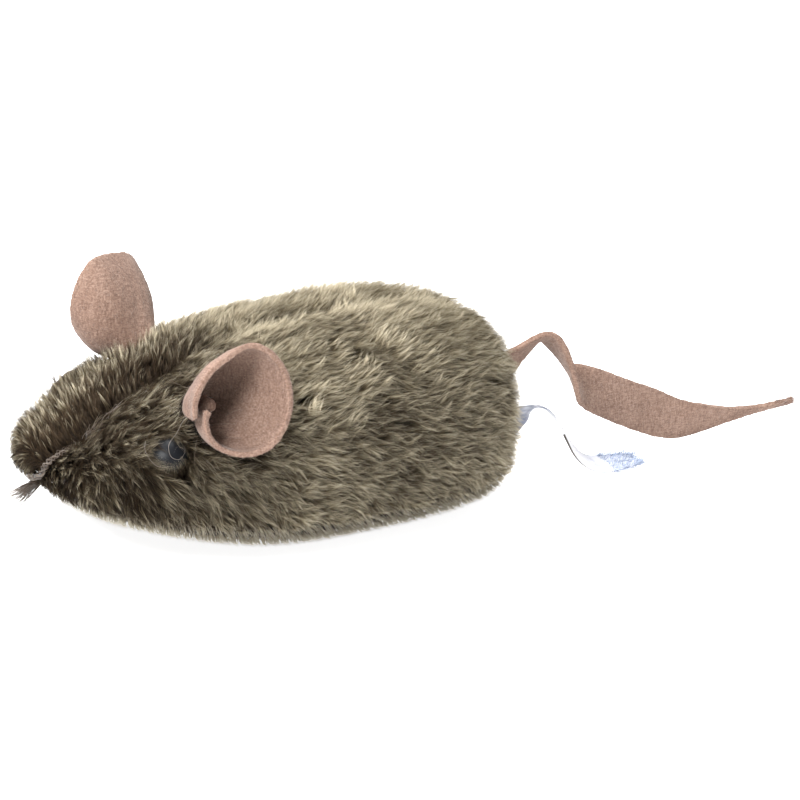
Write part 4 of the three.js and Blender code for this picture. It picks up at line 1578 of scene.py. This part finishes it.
@dataclass
class BeadRoom:
    """A domed bead in the fur: fibres lean over its edge, and the rest keep out of it."""

    seat: Matrix
    radius: float
    height: float
    covered: float
    lash_count: int = 620
    lash_comb: float = 0.5
    lash_scatter: float = 0.35
    lash_radii: tuple[float, float] = (0.08, 0.13)
    lash_tone: float = 0.25
    lash_tone_spread: float = 0.2
    tip_gap: float = 0.35 * MM
    tip_scatter: float = 0.15 * MM
    knee_gap: float = 0.5 * MM
    tested_shares: tuple[float, ...] = (0.3, 0.45, 0.6, 0.75, 0.9, 1.0)
    seed: int = 3

    @property
    def middle(self) -> Array:
        """The middle of the bead's flange."""
        return np.array(self.seat.translation)

    def local(self, points: Array) -> Array:
        """Points as seen from the bead, with its dome along +Z."""
        turn = np.array(self.seat.inverted())
        return points @ turn[:3, :3].T + turn[:3, 3]

    def world(self, points: Array) -> Array:
        """Points as seen from the bead, back in the part's frame."""
        turn = np.array(self.seat)
        return points @ turn[:3, :3].T + turn[:3, 3]

    def lashes(self, comb: Array, length: float) -> Fibres:
        """Fibres that stand round the bead and lean over its edge.

        Args:
            comb: which way the pile round the bead is combed.
            length: how far below the bead's flange the fibres start.

        Returns:
            The fibres.
        """
        rng = np.random.default_rng(self.seed)
        count = self.lash_count
        turn = rng.uniform(0, 2 * math.pi, count)
        out = np.stack([np.cos(turn), np.sin(turn), np.zeros(count)], -1)
        comb = self.local(comb + self.middle) * np.array([1, 1, 0])
        above = 0.4 + 0.6 * smooth(0.1, -0.9, out[:, 1:2])
        over = self.covered * above * rng.random((count, 1)) ** 0.6
        root = out * self.radius * rng.uniform(1.0, 1.25, (count, 1)) - np.array([0, 0, length])
        flat = np.clip(1 - over, 0.02, 1.3)
        strayed = comb * self.lash_comb + rng.normal(0, self.lash_scatter, (count, 3))
        tip = out * self.radius * flat + strayed * MM
        rim = np.linalg.norm(tip[:, :2], axis=1) / self.radius
        tip[:, 2] = self.height * np.sqrt(np.clip(1 - rim**2, 0, 1)) + self.tip_gap
        tip[:, 2] += rng.normal(0, self.tip_scatter, count)
        knee = out * self.radius * rng.uniform(1.1, 1.4, (count, 1))
        knee[:, 2] += self.height + self.knee_gap
        radius = rng.uniform(*self.lash_radii, count) * MM
        tone = np.clip(self.lash_tone + rng.normal(0, self.lash_tone_spread, count), 0.01, 0.99)
        places = (self.world(points) for points in (root, knee, tip))
        return Fibres(*places, radius, tone, Strand(stretches=4))

    def leaves(self, fibres: Fibres) -> Array:
        """A mask of the fibres that stay out of the bead.

        Args:
            fibres: the fibres.

        Returns:
            The mask.
        """
        size = np.array([self.radius, self.radius, self.height])
        kept = np.ones(len(fibres.root), bool)
        for share in self.tested_shares:
            kept &= np.linalg.norm(self.local(fibres.along(share)) / size, axis=1) > 1
        return kept


# Head


@dataclass
class Eyes:
    """Two beads, each on a shank that runs into the cloth."""

    radius: float = 3.4 * MM
    dome: float = 2.2 * MM
    flange: float = 0.6 * MM
    shank_radius: float = 1.0 * MM
    shank_length: float = 8.6 * MM
    sides: int = 48
    arc_points: int = 14
    covered: float = 0.62

    def bead(self, name: str) -> Mesh:
        """A bead that looks along +Z, its flange's top at zero.

        Args:
            name: the mesh's name.

        Returns:
            The mesh.
        """
        bm = bmesh.new()
        arc = [
            (self.radius * math.cos(t), self.dome * math.sin(t))
            for t in np.linspace(0, math.pi / 2, self.arc_points)[:-1]
        ]
        outline = [
            (0, -self.shank_length),
            (self.shank_radius, -self.shank_length),
            (self.shank_radius, -self.flange),
            (self.radius - 0.1 * MM, -self.flange),
            (self.radius, -self.flange + 0.1 * MM),
            *arc,
            (0, self.dome),
        ]
        verts = [bm.verts.new((x, 0, z)) for x, z in outline]
        edges = [bm.edges.new(pair) for pair in zip(verts, verts[1:])]
        turn = {"cent": (0, 0, 0), "axis": (0, 0, 1), "angle": 2 * math.pi}
        bmesh.ops.spin(bm, geom=verts + edges, steps=self.sides, use_merge=True, **turn)
        bmesh.ops.remove_doubles(bm, verts=bm.verts, dist=1e-7)
        bmesh.ops.recalc_face_normals(bm, faces=bm.faces)
        return mesh_of(name, bm)

    def build(self) -> None:
        """Makes both beads where their solids stand."""
        for side in Side:
            node = f"{side.word}_eye"
            mesh = self.bead(f"{side.word}_eye_bead")
            mesh.transform(self.seat(node))
            piece = add_piece(f"{side.word}_eye_bead", mesh, BEAD, PLUSH_BODY)
            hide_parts(node)

    def seat(self, node: str) -> Matrix:
        """Where a bead's solid stands and which way it looks, by its wide end and the top of its dome.

        Args:
            node: the solid's node.

        Returns:
            The bead's place and turn.
        """
        points = np.array([v.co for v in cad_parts[node].data.vertices])
        middle = points.mean(0)
        axis = np.linalg.svd(points - middle, full_matrices=False)[2][0]
        along = (points - middle) @ axis
        low, high = along.min(), along.max()
        near_low, near_high = points[along < low + 1 * MM], points[along > high - 1 * MM]
        wide_at_low = np.linalg.norm(near_low - middle - low * axis, axis=1).max()
        wide_at_high = np.linalg.norm(near_high - middle - high * axis, axis=1).max()
        if wide_at_low > wide_at_high:
            axis, high = -axis, -low
        top = Vector(middle + high * axis)
        turn = Vector(axis).to_track_quat("Z", "Y").to_matrix().to_4x4()
        return Matrix.Translation(top - Vector(axis) * self.dome) @ turn


@dataclass(frozen=True)
class Bend:
    """A change of a piece of felt, in millimetres, that fades away from its place.

    It fades over a number of points along the felt, or over a reach in all directions.
    """

    place: Place
    move: Place
    steps: int = 0
    reach: float = 0.0

    def weights(self, bm: BMesh) -> dict[BMVert, float]:
        """How much of the move each point gets.

        Args:
            bm: the bmesh.

        Returns:
            The share of the move, by point.
        """
        place = Vector(self.place) * MM
        if not self.steps:
            return {v: math.exp(-(((v.co - place).length / (self.reach * MM)) ** 2)) for v in bm.verts}
        front = set(sorted(bm.verts, key=lambda v: (v.co - place).length)[:2])
        found = dict.fromkeys(front, 1.0)
        for step in range(1, self.steps):
            front = {edge.other_vert(v) for v in front for edge in v.link_edges} - set(found)
            share = float(smooth(0, 1, 1 - step / self.steps))
            found.update(dict.fromkeys(front, share))
        return found


@dataclass
class FeltPieces:
    """The rolled ears and the twisted tail: felt with a fuzz of loose fibre."""

    bends: dict[str, tuple[Bend, ...]] = field(
        default_factory=lambda: {
            "left_ear": (
                Bend((-25.6, -23.35, 34.95), (-1.15, -0.36, -2.51), steps=9),
                Bend((-29.85, -23.55, 33.4), (-0.63, -0.06, -1.08), steps=5),
                Bend((-30.2, -19.2, 31.6), (1.64, -1.16, 0.01), reach=3.0),
                Bend((-25.0, -20.5, 39.0), (-0.93, 0.87, 0.44), reach=3.8),
            ),
            "right_ear": (Bend((-23.0, 21.0, 42.0), (-0.57, 0.42, 0.03), reach=14.0),),
        }
    )
    rooms: list[Clearance] = field(default_factory=list)
    thinned: float = 0.15 * MM
    fuzz_per_mm2: float = 3.6
    fuzz_length: float = 0.55 * MM
    fuzz_radius: float = 0.035 * MM
    fuzz_lift: float = 0.25
    fuzz_turn: float = 0.8
    fuzz_tone: float = 0.45
    fuzz_tone_spread: float = 0.25
    ear_flat: tuple[float, float] = (13.5 * MM, 67 * MM)
    ear_flat_area: float = 572 * MM**2
    fray_count: int = 260
    fray_radius: float = 0.05 * MM
    fray_reach: float = 5 * MM
    fray: Wisps = Wisps((0.85, 0.0, 0.22), 0.28, (0.8, 3.2), (0.5, 0.5))
    ruffles: tuple[tuple[float, float], ...] = ((0.12 * MM, 1.1 * MM), (0.05 * MM, 0.35 * MM))
    # Painted shade inside each ear's cup: its darkest place, how dark it gets and how far it reaches.
    cup_shade_places: dict[Side, Place] = field(
        default_factory=lambda: {Side.LEFT: (-24.6, -20.6, 32.8), Side.RIGHT: (-24.0, 20.6, 34.0)}
    )
    cup_shade_strength: float = 0.94
    cup_shade_reach: float = 8.2 * MM
    gather_place: Place = (-24.2, -17.5, 31.2)
    gather_radius: float = 1.9 * MM
    gather_scale: Place = (0.8, 1.0, 0.8)
    gather_ruffle: tuple[float, float] = (0.3 * MM, 1.2 * MM)
    edge_crease: float = 0.75
    seed: int = 5

    def build(self) -> None:
        """Makes the ears and the tail."""
        for i, side in enumerate(Side):
            ear = self._felt(f"{side.word}_ear", f"{side.word}_ear_flap", self.seed + i)
            # Painted shade inside the ear's cup.
            self._paint_cup_shade(ear.data, side)
        self._gather()
        tail = self._felt("tail", "tail_strip", self.seed + 2)
        rng = np.random.default_rng(self.seed + 3)
        fray = self._fray(values_of(tail.data.vertices, "co"), rng)
        add_fibres("tail_fray", fray, FELT_FUZZ, "tail_strip")

    def _felt(self, node: str, body: str, seed: int) -> Object:
        """One piece of felt with its fuzz, and the room that it takes.

        Args:
            node: the solid's node.
            body: the body that it moves with.
            seed: the seed of its fuzz.

        Returns:
            The piece of felt.
        """
        bm = copy_of_node(node)
        bends = [(Vector(bend.move) * MM, bend.weights(bm)) for bend in self.bends.get(node, ())]
        for move, weights in bends:
            for vertex, weight in weights.items():
                vertex.co += move * weight
        bm.normal_update()
        for vertex, normal in [(v, v.normal.copy()) for v in bm.verts]:
            vertex.co -= normal * self.thinned
        bm.normal_update()
        hull = Clearance.planes(bm)
        mesh = mesh_of(f"{node}_felt", keep_edges(bm, self.edge_crease))
        piece = add_piece(f"{node}_felt", mesh, FELT, body)
        refined(piece, 2)
        whole = bmesh.new()
        whole.from_mesh(piece.data)
        self.rooms.append(Clearance(hull, BVHTree.FromBMesh(whole)))
        whole.free()
        for amount, size in self.ruffles:
            ruffled(piece.data, amount, size)
        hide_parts(node)
        fuzz = self._fuzz(piece.data, np.random.default_rng(seed))
        add_fibres(f"{node}_fuzz", fuzz, FELT_FUZZ, body)
        return piece

    def _gather(self) -> None:
        """The tuck of cloth that closes the left ear's roll at its bottom."""
        bm = bmesh.new()
        bmesh.ops.create_uvsphere(bm, u_segments=24, v_segments=14, radius=self.gather_radius)
        bmesh.ops.scale(bm, verts=bm.verts, vec=self.gather_scale)
        bmesh.ops.translate(bm, verts=bm.verts, vec=Vector(self.gather_place) * MM)
        mesh = mesh_of("left_ear_tuck", bm)
        ruffled(mesh, *self.gather_ruffle)
        add_piece("left_ear_tuck", mesh, FELT, "left_ear_flap")

    def _paint_cup_shade(self, mesh: Mesh, side: Side) -> None:
        """Marks painted shade on an ear's felt: darker inside its cup, towards the gathered root, where the
        cup's own shadow falls.

        Args:
            mesh: the mesh.
            side: the side.
        """
        points, normals = values_of(mesh.vertices, "co"), values_of(mesh.vertices, "normal")
        inward = smooth(-0.15, 0.35, (unit(points.mean(0) - points) * normals).sum(1))
        near = nearness(points, np.array(self.cup_shade_places[side]) * MM, self.cup_shade_reach)
        shade = self.cup_shade_strength * inward * near
        mesh.attributes.new(PAINTED_SHADE, "FLOAT", "POINT").data.foreach_set("value", shade.astype(np.float32))

    def _fray(self, points: Array, rng: Generator) -> Fibres:
        """Fibres that have worked loose at the tail's tip.

        Args:
            points: the points of the tail's mesh.
            rng: the source of chance.

        Returns:
            The fibres.
        """
        end = points[points[:, 0] > points[:, 0].max() - self.fray_reach]
        root = end[rng.integers(0, len(end), self.fray_count)]
        radius = np.full(len(root), self.fray_radius)
        return Fibres(root, *self.fray.grown(rng, root), radius, rng.random(len(root)), FRAYED)

    def _fuzz(self, mesh: Mesh, rng: Generator) -> Fibres:
        """Loose fibres that stand off a piece of felt.

        Args:
            mesh: the mesh.
            rng: the source of chance.

        Returns:
            The fibres.
        """
        mesh.calc_loop_triangles()
        triangles = np.empty(len(mesh.loop_triangles) * 3, int)
        mesh.loop_triangles.foreach_get("vertices", triangles)
        corners = triangles.reshape(-1, 3)
        a, b, c = (values_of(mesh.vertices, "co")[corners[:, i]] for i in range(3))
        area = np.linalg.norm(np.cross(b - a, c - a), axis=1) / 2
        count = int(area.sum() / MM**2 * self.fuzz_per_mm2)
        pick = rng.choice(len(area), size=count, p=area / area.sum())
        u, v = rng.random(count), rng.random(count)
        u, v = np.where(u + v > 1, 1 - u, u), np.where(u + v > 1, 1 - v, v)
        root = a[pick] + u[:, None] * (b - a)[pick] + v[:, None] * (c - a)[pick]
        normal = values_of(mesh.vertices, "normal")[corners[pick, 0]]
        loose = unit(rng.normal(0, 1, (count, 3)))
        lie = unit(loose - (loose * normal).sum(-1, keepdims=True) * normal)
        length = self.fuzz_length * (0.4 + 1.2 * rng.random(count) ** 2)
        knee = root + lie * (0.55 * length)[:, None] + normal * (self.fuzz_lift * length)[:, None]
        turned = unit(lie + self.fuzz_turn * unit(rng.normal(0, 1, (count, 3))))
        tip = knee + turned * (0.5 * length)[:, None] + normal * (0.22 * length)[:, None]
        tone = np.clip(self.fuzz_tone + rng.normal(0, self.fuzz_tone_spread, count), 0, 1)
        return Fibres(root - normal * 0.05 * MM, knee, tip, np.full(count, self.fuzz_radius), tone)


@dataclass
class LooseThreads:
    """The tuft at the nose, the twisted thread along the start of the seam, and stray fibres on the head.

    Each place is a row and an angle of the stuffed form, in degrees, and a height over the pile.
    """

    form: BodyForm
    seed: int = 23
    seam_places: tuple[Place, ...] = (
        (0.03, 196, 0.6),
        (0.058, 166, 0.8),
        (0.088, 133, 0.8),
        (0.118, 121.0, 0.6),
        (0.148, 115.3, 0.3),
        (0.18, 111.0, -0.4),
    )
    ear_places: tuple[Place, ...] = (
        (0.372, 128.5, 0.6),
        (0.353, 131.7, 1.4),
        (0.341, 134.1, 1.7),
        (0.327, 139.0, 1.5),
        (0.313, 143.4, 1.2),
        (0.311, 150.2, 1.0),
        (0.321, 153.0, 0.9),
        (0.331, 149.0, 0.9),
        (0.323, 145.5, 0.8),
        (0.315, 149.0, 0.7),
    )
    eye_places: tuple[Place, ...] = (
        (0.285, 136.0, 0.8),
        (0.279, 142.0, 1.2),
        (0.281, 148.6, 1.2),
        (0.288, 153.5, 1.0),
        (0.300, 155.5, 0.8),
        (0.315, 156.0, 0.5),
    )
    line_radius: float = 0.075 * MM
    line_tone: float = 0.7
    ply_tones: tuple[float, ...] = (0.3, 0.03, 0.08, 0.55, 0.05, 0.08, 0.6, 0.1, 0.3)
    ply_radius: float = 0.16 * MM
    ply_knots: int = 34
    ply_turns: float = 5.2
    ply_chance: float = 0.25
    ply_reaches: tuple[float, float] = (0.27 * MM, 0.5 * MM)
    inner_plies: int = 6
    end_rows: tuple[tuple[float, float, int], ...] = ((0.215, 0.016, 20), (0.262, 0.012, 14))
    end_angle: float = 107.0
    end_angle_row: float = 0.2
    end_angle_slope: float = -90.0
    end_angle_chance: float = 1.6
    end_depth: float = 1.2 * MM
    end_radius: float = 0.08 * MM
    ends: Wisps = Wisps((0.75, -0.25, 0.45), 0.3, (1.5, 4.5), (0.4, 0.6), turn=0.4)
    tuft_start: Place = (-0.2, 0, 1.0)
    tuft_end: Place = (0.3, 0, 2.8)
    tuft_inward: Place = (1.4, 0, 0.2)
    tuft_sag: Place = (0, 0, -0.2)
    tuft_count: int = 150
    tuft_wisps: int = 5
    tuft_radius: float = 0.1 * MM
    tuft_splay: float = 1.15 * MM
    stray_count: int = 26
    stray_radius: float = 0.05 * MM
    stray_rows: tuple[float, float] = (0.28, 0.48)
    stray_angles: tuple[float, float] = (100, 175)
    stray_lengths: tuple[float, float] = (3, 7)
    stray_depth: float = 1.5 * MM
    stray_lift: float = 1.2 * MM
    stray_turn: float = 0.9

    def build(self) -> None:
        """Makes the tuft and the stray fibres."""
        rng = np.random.default_rng(self.seed)
        tuft = add_fibres("nose_tuft_threads", self._tuft(rng), THREAD, PLUSH_BODY)
        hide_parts("nose_tuft")
        for name, threads in (
            ("seam_thread", self._seam(rng)),
            ("seam_ends", self._seam_ends(rng)),
            ("stray_fibres", self._stray(rng)),
            ("ear_thread", self._line(self.ear_places)),
            ("eye_thread", self._line(self.eye_places)),
        ):
            add_fibres(name, threads, THREAD, PLUSH_BODY)

    def _knots(self, places: tuple[Place, ...]) -> Array:
        """Places over the pile as points.

        Args:
            places: rows, angles and heights.

        Returns:
            The points.
        """
        row, angle, height = np.array(places).T
        angle = np.radians(angle)
        return self.form.point(row, angle, 0) + self.form.normal(row, angle) * (height * MM)[:, None]

    def _line(self, places: tuple[Place, ...]) -> Threads:
        """One pale, clear fibre over the pile.

        Args:
            places: rows, angles and heights.

        Returns:
            The thread.
        """
        kind = Strand(stretches=40, taper=0.15)
        radius, tone = np.array([self.line_radius]), np.array([self.line_tone])
        return Threads.through(self._knots(places)[None], radius, tone, kind)

    def _seam(self, rng: Generator) -> Threads:
        """A thread of several plies, twisted along the start of the seam.

        Args:
            rng: the source of chance.

        Returns:
            The plies.
        """
        line = Threads.through(self._knots(self.seam_places)[None], np.ones(1), np.ones(1), Strand())
        share = np.linspace(0, 1, self.ply_knots)
        middle = np.array([line.along(s)[0] for s in share])
        level, other = (np.array([line.sides(s)[i][0] for s in share]) for i in (0, 1))
        rows = []
        for ply in range(len(self.ply_tones)):
            turn = 2 * math.pi * (self.ply_turns * share + ply / 3) + rng.normal(0, self.ply_chance)
            reach = self.ply_reaches[ply >= self.inner_plies]
            reach = reach * (1 + rng.normal(0, self.ply_chance, len(share)))
            across = level * np.cos(turn)[:, None] + other * np.sin(turn)[:, None]
            rows.append(middle + across * reach[:, None])
        radius = np.full(len(rows), self.ply_radius)
        return Threads.through(np.array(rows), radius, np.array(self.ply_tones), Strand(60, 0.25))

    def _seam_ends(self, rng: Generator) -> Fibres:
        """Short pale ends that stand out of the seam further up the head.

        Args:
            rng: the source of chance.

        Returns:
            The fibres.
        """
        row = np.concatenate([rng.normal(*end) for end in self.end_rows])
        count = len(row)
        angle = self.end_angle + self.end_angle_slope * (row - self.end_angle_row)
        angle = np.radians(angle + rng.normal(0, self.end_angle_chance, count))
        place = self.form.point(row, angle, 0)
        root = place - self.form.normal(row, angle) * self.end_depth
        radius = np.full(count, self.end_radius)
        return Fibres(root, *self.ends.grown(rng, place), radius, rng.uniform(0.25, 0.8, count), FRAYED)

    def _tuft(self, rng: Generator) -> Fibres:
        """Threads that leave the seam at the nose, cling together and splay at their ends.

        Args:
            rng: the source of chance.

        Returns:
            The threads.
        """
        low, high = (np.array(corner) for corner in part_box("nose_tuft"))
        count = self.tuft_count
        middle = (low + high) / 2
        start = np.array([high[0], middle[1], high[2]]) + np.array(self.tuft_start) * MM
        end = np.array([low[0], middle[1], low[2]]) + np.array(self.tuft_end) * MM
        wisp = rng.integers(0, self.tuft_wisps, count)
        sway = rng.normal(0, 0.8, (self.tuft_wisps, 3)) + np.array(self.tuft_sag)
        splay = sway[wisp] + rng.normal(0, 0.45, (count, 3))
        root = start + rng.normal(0, 0.3, (count, 3)) * MM + np.array(self.tuft_inward) * MM
        tip = end + splay * self.tuft_splay
        tip += unit(tip - root) * rng.normal(0, 0.8, count)[:, None] * MM
        knee = (root + tip) / 2 + (splay * 0.25 + rng.normal(0, 0.25, (count, 3))) * MM
        tone = np.where(rng.random(count) < 0.18, 0.6, 0.1) + rng.normal(0, 0.08, count)
        tone[wisp == self.tuft_wisps - 1] += 0.35
        radius = np.full(count, self.tuft_radius)
        return Fibres(root, knee, tip, radius, np.clip(tone, 0.01, 0.99), Strand(5, 0.5))

    def _stray(self, rng: Generator) -> Fibres:
        """Pale fibres that lie curled over the head.

        Args:
            rng: the source of chance.

        Returns:
            The fibres.
        """
        count = self.stray_count
        row = rng.uniform(*self.stray_rows, count)
        angle = np.radians(rng.uniform(*self.stray_angles, count))
        place, normal = self.form.point(row, angle, 0), self.form.normal(row, angle)
        lie = unit(np.cross(normal, unit(rng.normal(0, 1, (count, 3)))))
        length = rng.uniform(*self.stray_lengths, count)[:, None] * MM
        root = place - normal * self.stray_depth
        knee = place + lie * 0.5 * length + normal * self.stray_lift
        turned = unit(lie + self.stray_turn * unit(rng.normal(0, 1, (count, 3))))
        tip = knee + turned * 0.5 * length
        radius = np.full(count, self.stray_radius)
        return Fibres(root, knee, tip, radius, rng.uniform(0.3, 0.8, count), Strand(8, 0.3))


# Rump


@dataclass
class SatinTape:
    """The white tape that is sewn in below the tail, frayed at its cut end."""

    fray_count: int = 180
    fluff_count: int = 700
    fray_radius: float = 0.055 * MM
    fray_reach: float = 0.5 * MM
    fluff_reach: float = 8.5 * MM
    fray: Wisps = Wisps((1.0, 0.15, -0.05), 0.32, (0.72, 2.88), (0.6, 0.5))
    fluff: Wisps = Wisps((0.75, 0.05, 0.35), 0.45, (0.936, 3.744), (0.6, 0.5))
    # The painted shadow in the tape's curled near edge: its stretch along X, its knots, its width and its
    # tone.
    curl_shadow_stretch: tuple[float, float] = (62 * MM, 70.5 * MM)
    curl_shadow_knots: int = 9
    curl_shadow_radius: float = 0.28 * MM
    curl_shadow_tone: float = 0.12
    floor_gap: float = 0.15 * MM
    seed: int = 31

    def build(self) -> None:
        """Makes the tape and its frayed end."""
        weave = mesh_of("satin_tape_weave", copy_of_node("satin_tape"))
        piece = add_piece("satin_tape_weave", weave, SATIN, "tape_strip")
        refined(piece, 2)
        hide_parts("satin_tape")
        rng = np.random.default_rng(self.seed)
        points = values_of(piece.data.vertices, "co")
        for name, fibres in (
            ("satin_tape_fray", self._fray(rng, points)),
            ("satin_tape_fluff", self._fluff(rng, points)),
        ):
            add_fibres(name, fibres, SATIN_FRAY, "tape_strip")
        # A dark strand as painted shadow in the tape's curled near edge.
        add_fibres("satin_tape_curl_shadow", self._curl_shadow(points), THREAD, "tape_strip")

    def _fray(self, rng: Generator, points: Array) -> Fibres:
        """Loose threads at the tape's far end.

        Args:
            rng: the source of chance.
            points: the points of the tape's mesh.

        Returns:
            The threads.
        """
        end = points[points[:, 0] > points[:, 0].max() - self.fray_reach]
        root = end[rng.integers(0, len(end), self.fray_count)] - np.array(self.fray.ahead) * MM
        return self._loose(rng, root, self.fray)

    def _fluff(self, rng: Generator, points: Array) -> Fibres:
        """Fibres that have worked loose over the tape's last stretch."""
        end = points[points[:, 0] > points[:, 0].max() - self.fluff_reach]
        return self._loose(rng, end[rng.integers(0, len(end), self.fluff_count)], self.fluff)

    def _loose(self, rng: Generator, root: Array, wisps: Wisps) -> Fibres:
        """Loose fibres that leave the tape at their roots and stay over the floor.

        Args:
            rng: the source of chance.
            root: where each fibre starts.
            wisps: how they leave it.

        Returns:
            The fibres.
        """
        parts = (root, *wisps.grown(rng, root))
        for part in parts:
            part[:, 2] = np.maximum(part[:, 2], self.floor_gap)
        count = len(root)
        return Fibres(*parts, np.full(count, self.fray_radius), rng.random(count), FRAYED)

    def _curl_shadow(self, points: Array) -> Threads:
        """A dark strand along the curled near edge of the tape, a painted shadow in the curl.

        Args:
            points: the points of the tape's mesh.

        Returns:
            The dark strand.
        """
        knots = []
        for x in np.linspace(*self.curl_shadow_stretch, self.curl_shadow_knots):
            slice_of = points[np.abs(points[:, 0] - x) < 0.5 * MM]
            knots.append(slice_of[np.argmin(slice_of[:, 1])])
        knots = np.array(knots)[None] + np.array([0, -0.1, 0.0]) * MM
        radius, tone = np.array([self.curl_shadow_radius]), np.array([self.curl_shadow_tone])
        return Threads.through(knots, radius, tone, Strand(24, 0.35))


# Inside


@dataclass(frozen=True)
class SoundCapsule:
    """The capsule's own solids, which keep their shapes and get their finishes."""

    finishes: tuple[tuple[tuple[str, ...], Finish], ...] = (
        (("left_eye_washer", "right_eye_washer"), WASHER),
        (("sound_case",), CASE),
        (("button_cell", "motion_switch_can"), CELL_STEEL),
        (("cell_contact", "motion_switch_plug", "motion_switch_ball", "piezo_disc"), BRASS),
        (("circuit_board",), BOARD),
        (("sound_chip",), RESIN),
        (("red_lead",), RED_SLEEVE),
        (("black_lead",), BLACK_SLEEVE),
        (("case_screw",), SCREW_STEEL),
    )

    def build(self) -> None:
        """Gives each solid its finish."""
        for starts, finish in self.finishes:
            for name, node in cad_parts.items():
                if name.startswith(starts):
                    node.data.materials.clear()
                    node.data.materials.append(finish.material())
                    LOG.info("%s: %s", name, finish.name)


# Studio


@dataclass(frozen=True)
class Lamp:
    """A soft square lamp: where it stands, how wide it is in metres and how strong in watts."""

    name: str
    place: Place
    size: float
    power: float


@dataclass(frozen=True)
class Studio:
    """A pale floor, soft lights and a camera where the photographer's stood."""

    eye: Place = (-0.29393, -0.45434, 0.23225)
    aim: Place = (0.02175, -0.01141, 0.02364)
    roll_degrees: float = 5.97
    lens_mm: float = 140.95
    sensor_mm: float = 36.0
    lamp_aim: Place = (0, 0, 0.02)
    lamps: tuple[Lamp, ...] = (
        Lamp("key_lamp", (-0.8, -0.35, 0.8), 0.35, 23.0),
        Lamp("fill_lamp", (0.2, -0.9, 0.5), 0.9, 1.5),
        Lamp("top_lamp", (0.1, 0.35, 1.1), 0.6, 20.0),
    )
    floor_size: float = 6.0
    floor_colour: Colour = (0.95, 0.95, 0.95)
    floor_roughness: float = 0.9
    floor_glow: float = 0.7
    floor_bounce: float = 0.2
    sky_strength: float = 0.14

    def camera(self) -> None:
        """The camera."""
        data = bpy.data.cameras.new("camera")
        data.lens = self.lens_mm
        data.sensor_width = self.sensor_mm
        data.clip_start, data.clip_end = 0.01, 20.0
        camera = bpy.data.objects.new("camera", data)
        bpy.context.scene.collection.objects.link(camera)
        look = Vector(self.aim) - Vector(self.eye)
        camera.location = self.eye
        camera.rotation_mode = "QUATERNION"
        level = look.to_track_quat("-Z", "Y")
        camera.rotation_quaternion = level @ Quaternion((0, 0, 1), math.radians(self.roll_degrees))
        bpy.context.scene.camera = camera

    def light(self, lamp: Lamp) -> None:
        """A lamp that looks at the mouse.

        Args:
            lamp: the lamp.
        """
        data = bpy.data.lights.new(lamp.name, "AREA")
        data.energy, data.size = lamp.power, lamp.size
        light = bpy.data.objects.new(lamp.name, data)
        bpy.context.scene.collection.objects.link(light)
        light.location = lamp.place
        light.rotation_mode = "QUATERNION"
        look = Vector(self.lamp_aim) - Vector(lamp.place)
        light.rotation_quaternion = look.to_track_quat("-Z", "Y")

    def build(self) -> None:
        """Makes the floor, the lights and the world."""
        bm = bmesh.new()
        bmesh.ops.create_grid(bm, x_segments=1, y_segments=1, size=self.floor_size / 2)
        floor = bpy.data.objects.new("studio_floor", mesh_of("studio_floor", bm, rounded=False))
        bpy.context.scene.collection.objects.link(floor)
        paper = bpy.data.materials.new("studio_paper")
        paper.use_nodes = True
        graph = Graph(paper.node_tree)
        seen = graph.add("LightPath").outputs["Is Camera Ray"]
        values = {
            "Base Color": linear(self.floor_colour),
            "Roughness": self.floor_roughness,
            "Emission Color": WHITE,
            "Emission Strength": graph.math(
                "ADD", graph.math("MULTIPLY", seen, self.floor_glow), self.floor_bounce
            ),
        }
        graph.feed(paper.node_tree.nodes["Principled BSDF"], values)
        floor.data.materials.append(paper)
        for lamp in self.lamps:
            self.light(lamp)
        world = bpy.data.worlds.new("studio")
        world.use_nodes = True
        sky = Graph(world.node_tree)
        sky.feed(world.node_tree.nodes["Background"], {"Color": WHITE, "Strength": self.sky_strength})
        bpy.context.scene.world = world
        bpy.context.scene.view_settings.view_transform = "Standard"


def body_form() -> BodyForm:
    """The stuffed form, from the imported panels' boxes.

    Returns:
        The form.
    """
    low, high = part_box("left_side_panel")
    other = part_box("right_side_panel")[1]
    return BodyForm(high.x - low.x, max(other.y, -low.y), BODY_HEIGHT)


def main() -> None:
    """Builds the mouse and its studio."""
    logging.basicConfig(level=logging.INFO, format="%(name)s: %(message)s")
    studio = Studio()
    studio.camera()
    form = body_form()
    eyes = Eyes()
    eyes.build()
    felt = FeltPieces()
    felt.build()
    SatinTape().build()
    LooseThreads(form).build()
    seats = [eyes.seat(f"{side.word}_eye") for side in Side]
    beads = [BeadRoom(seat, eyes.radius, eyes.dome, eyes.covered) for seat in seats]
    Plush(form).build(felt.rooms[:2], beads)
    SoundCapsule().build()
    studio.build()


if __name__ == "__main__":
    main()
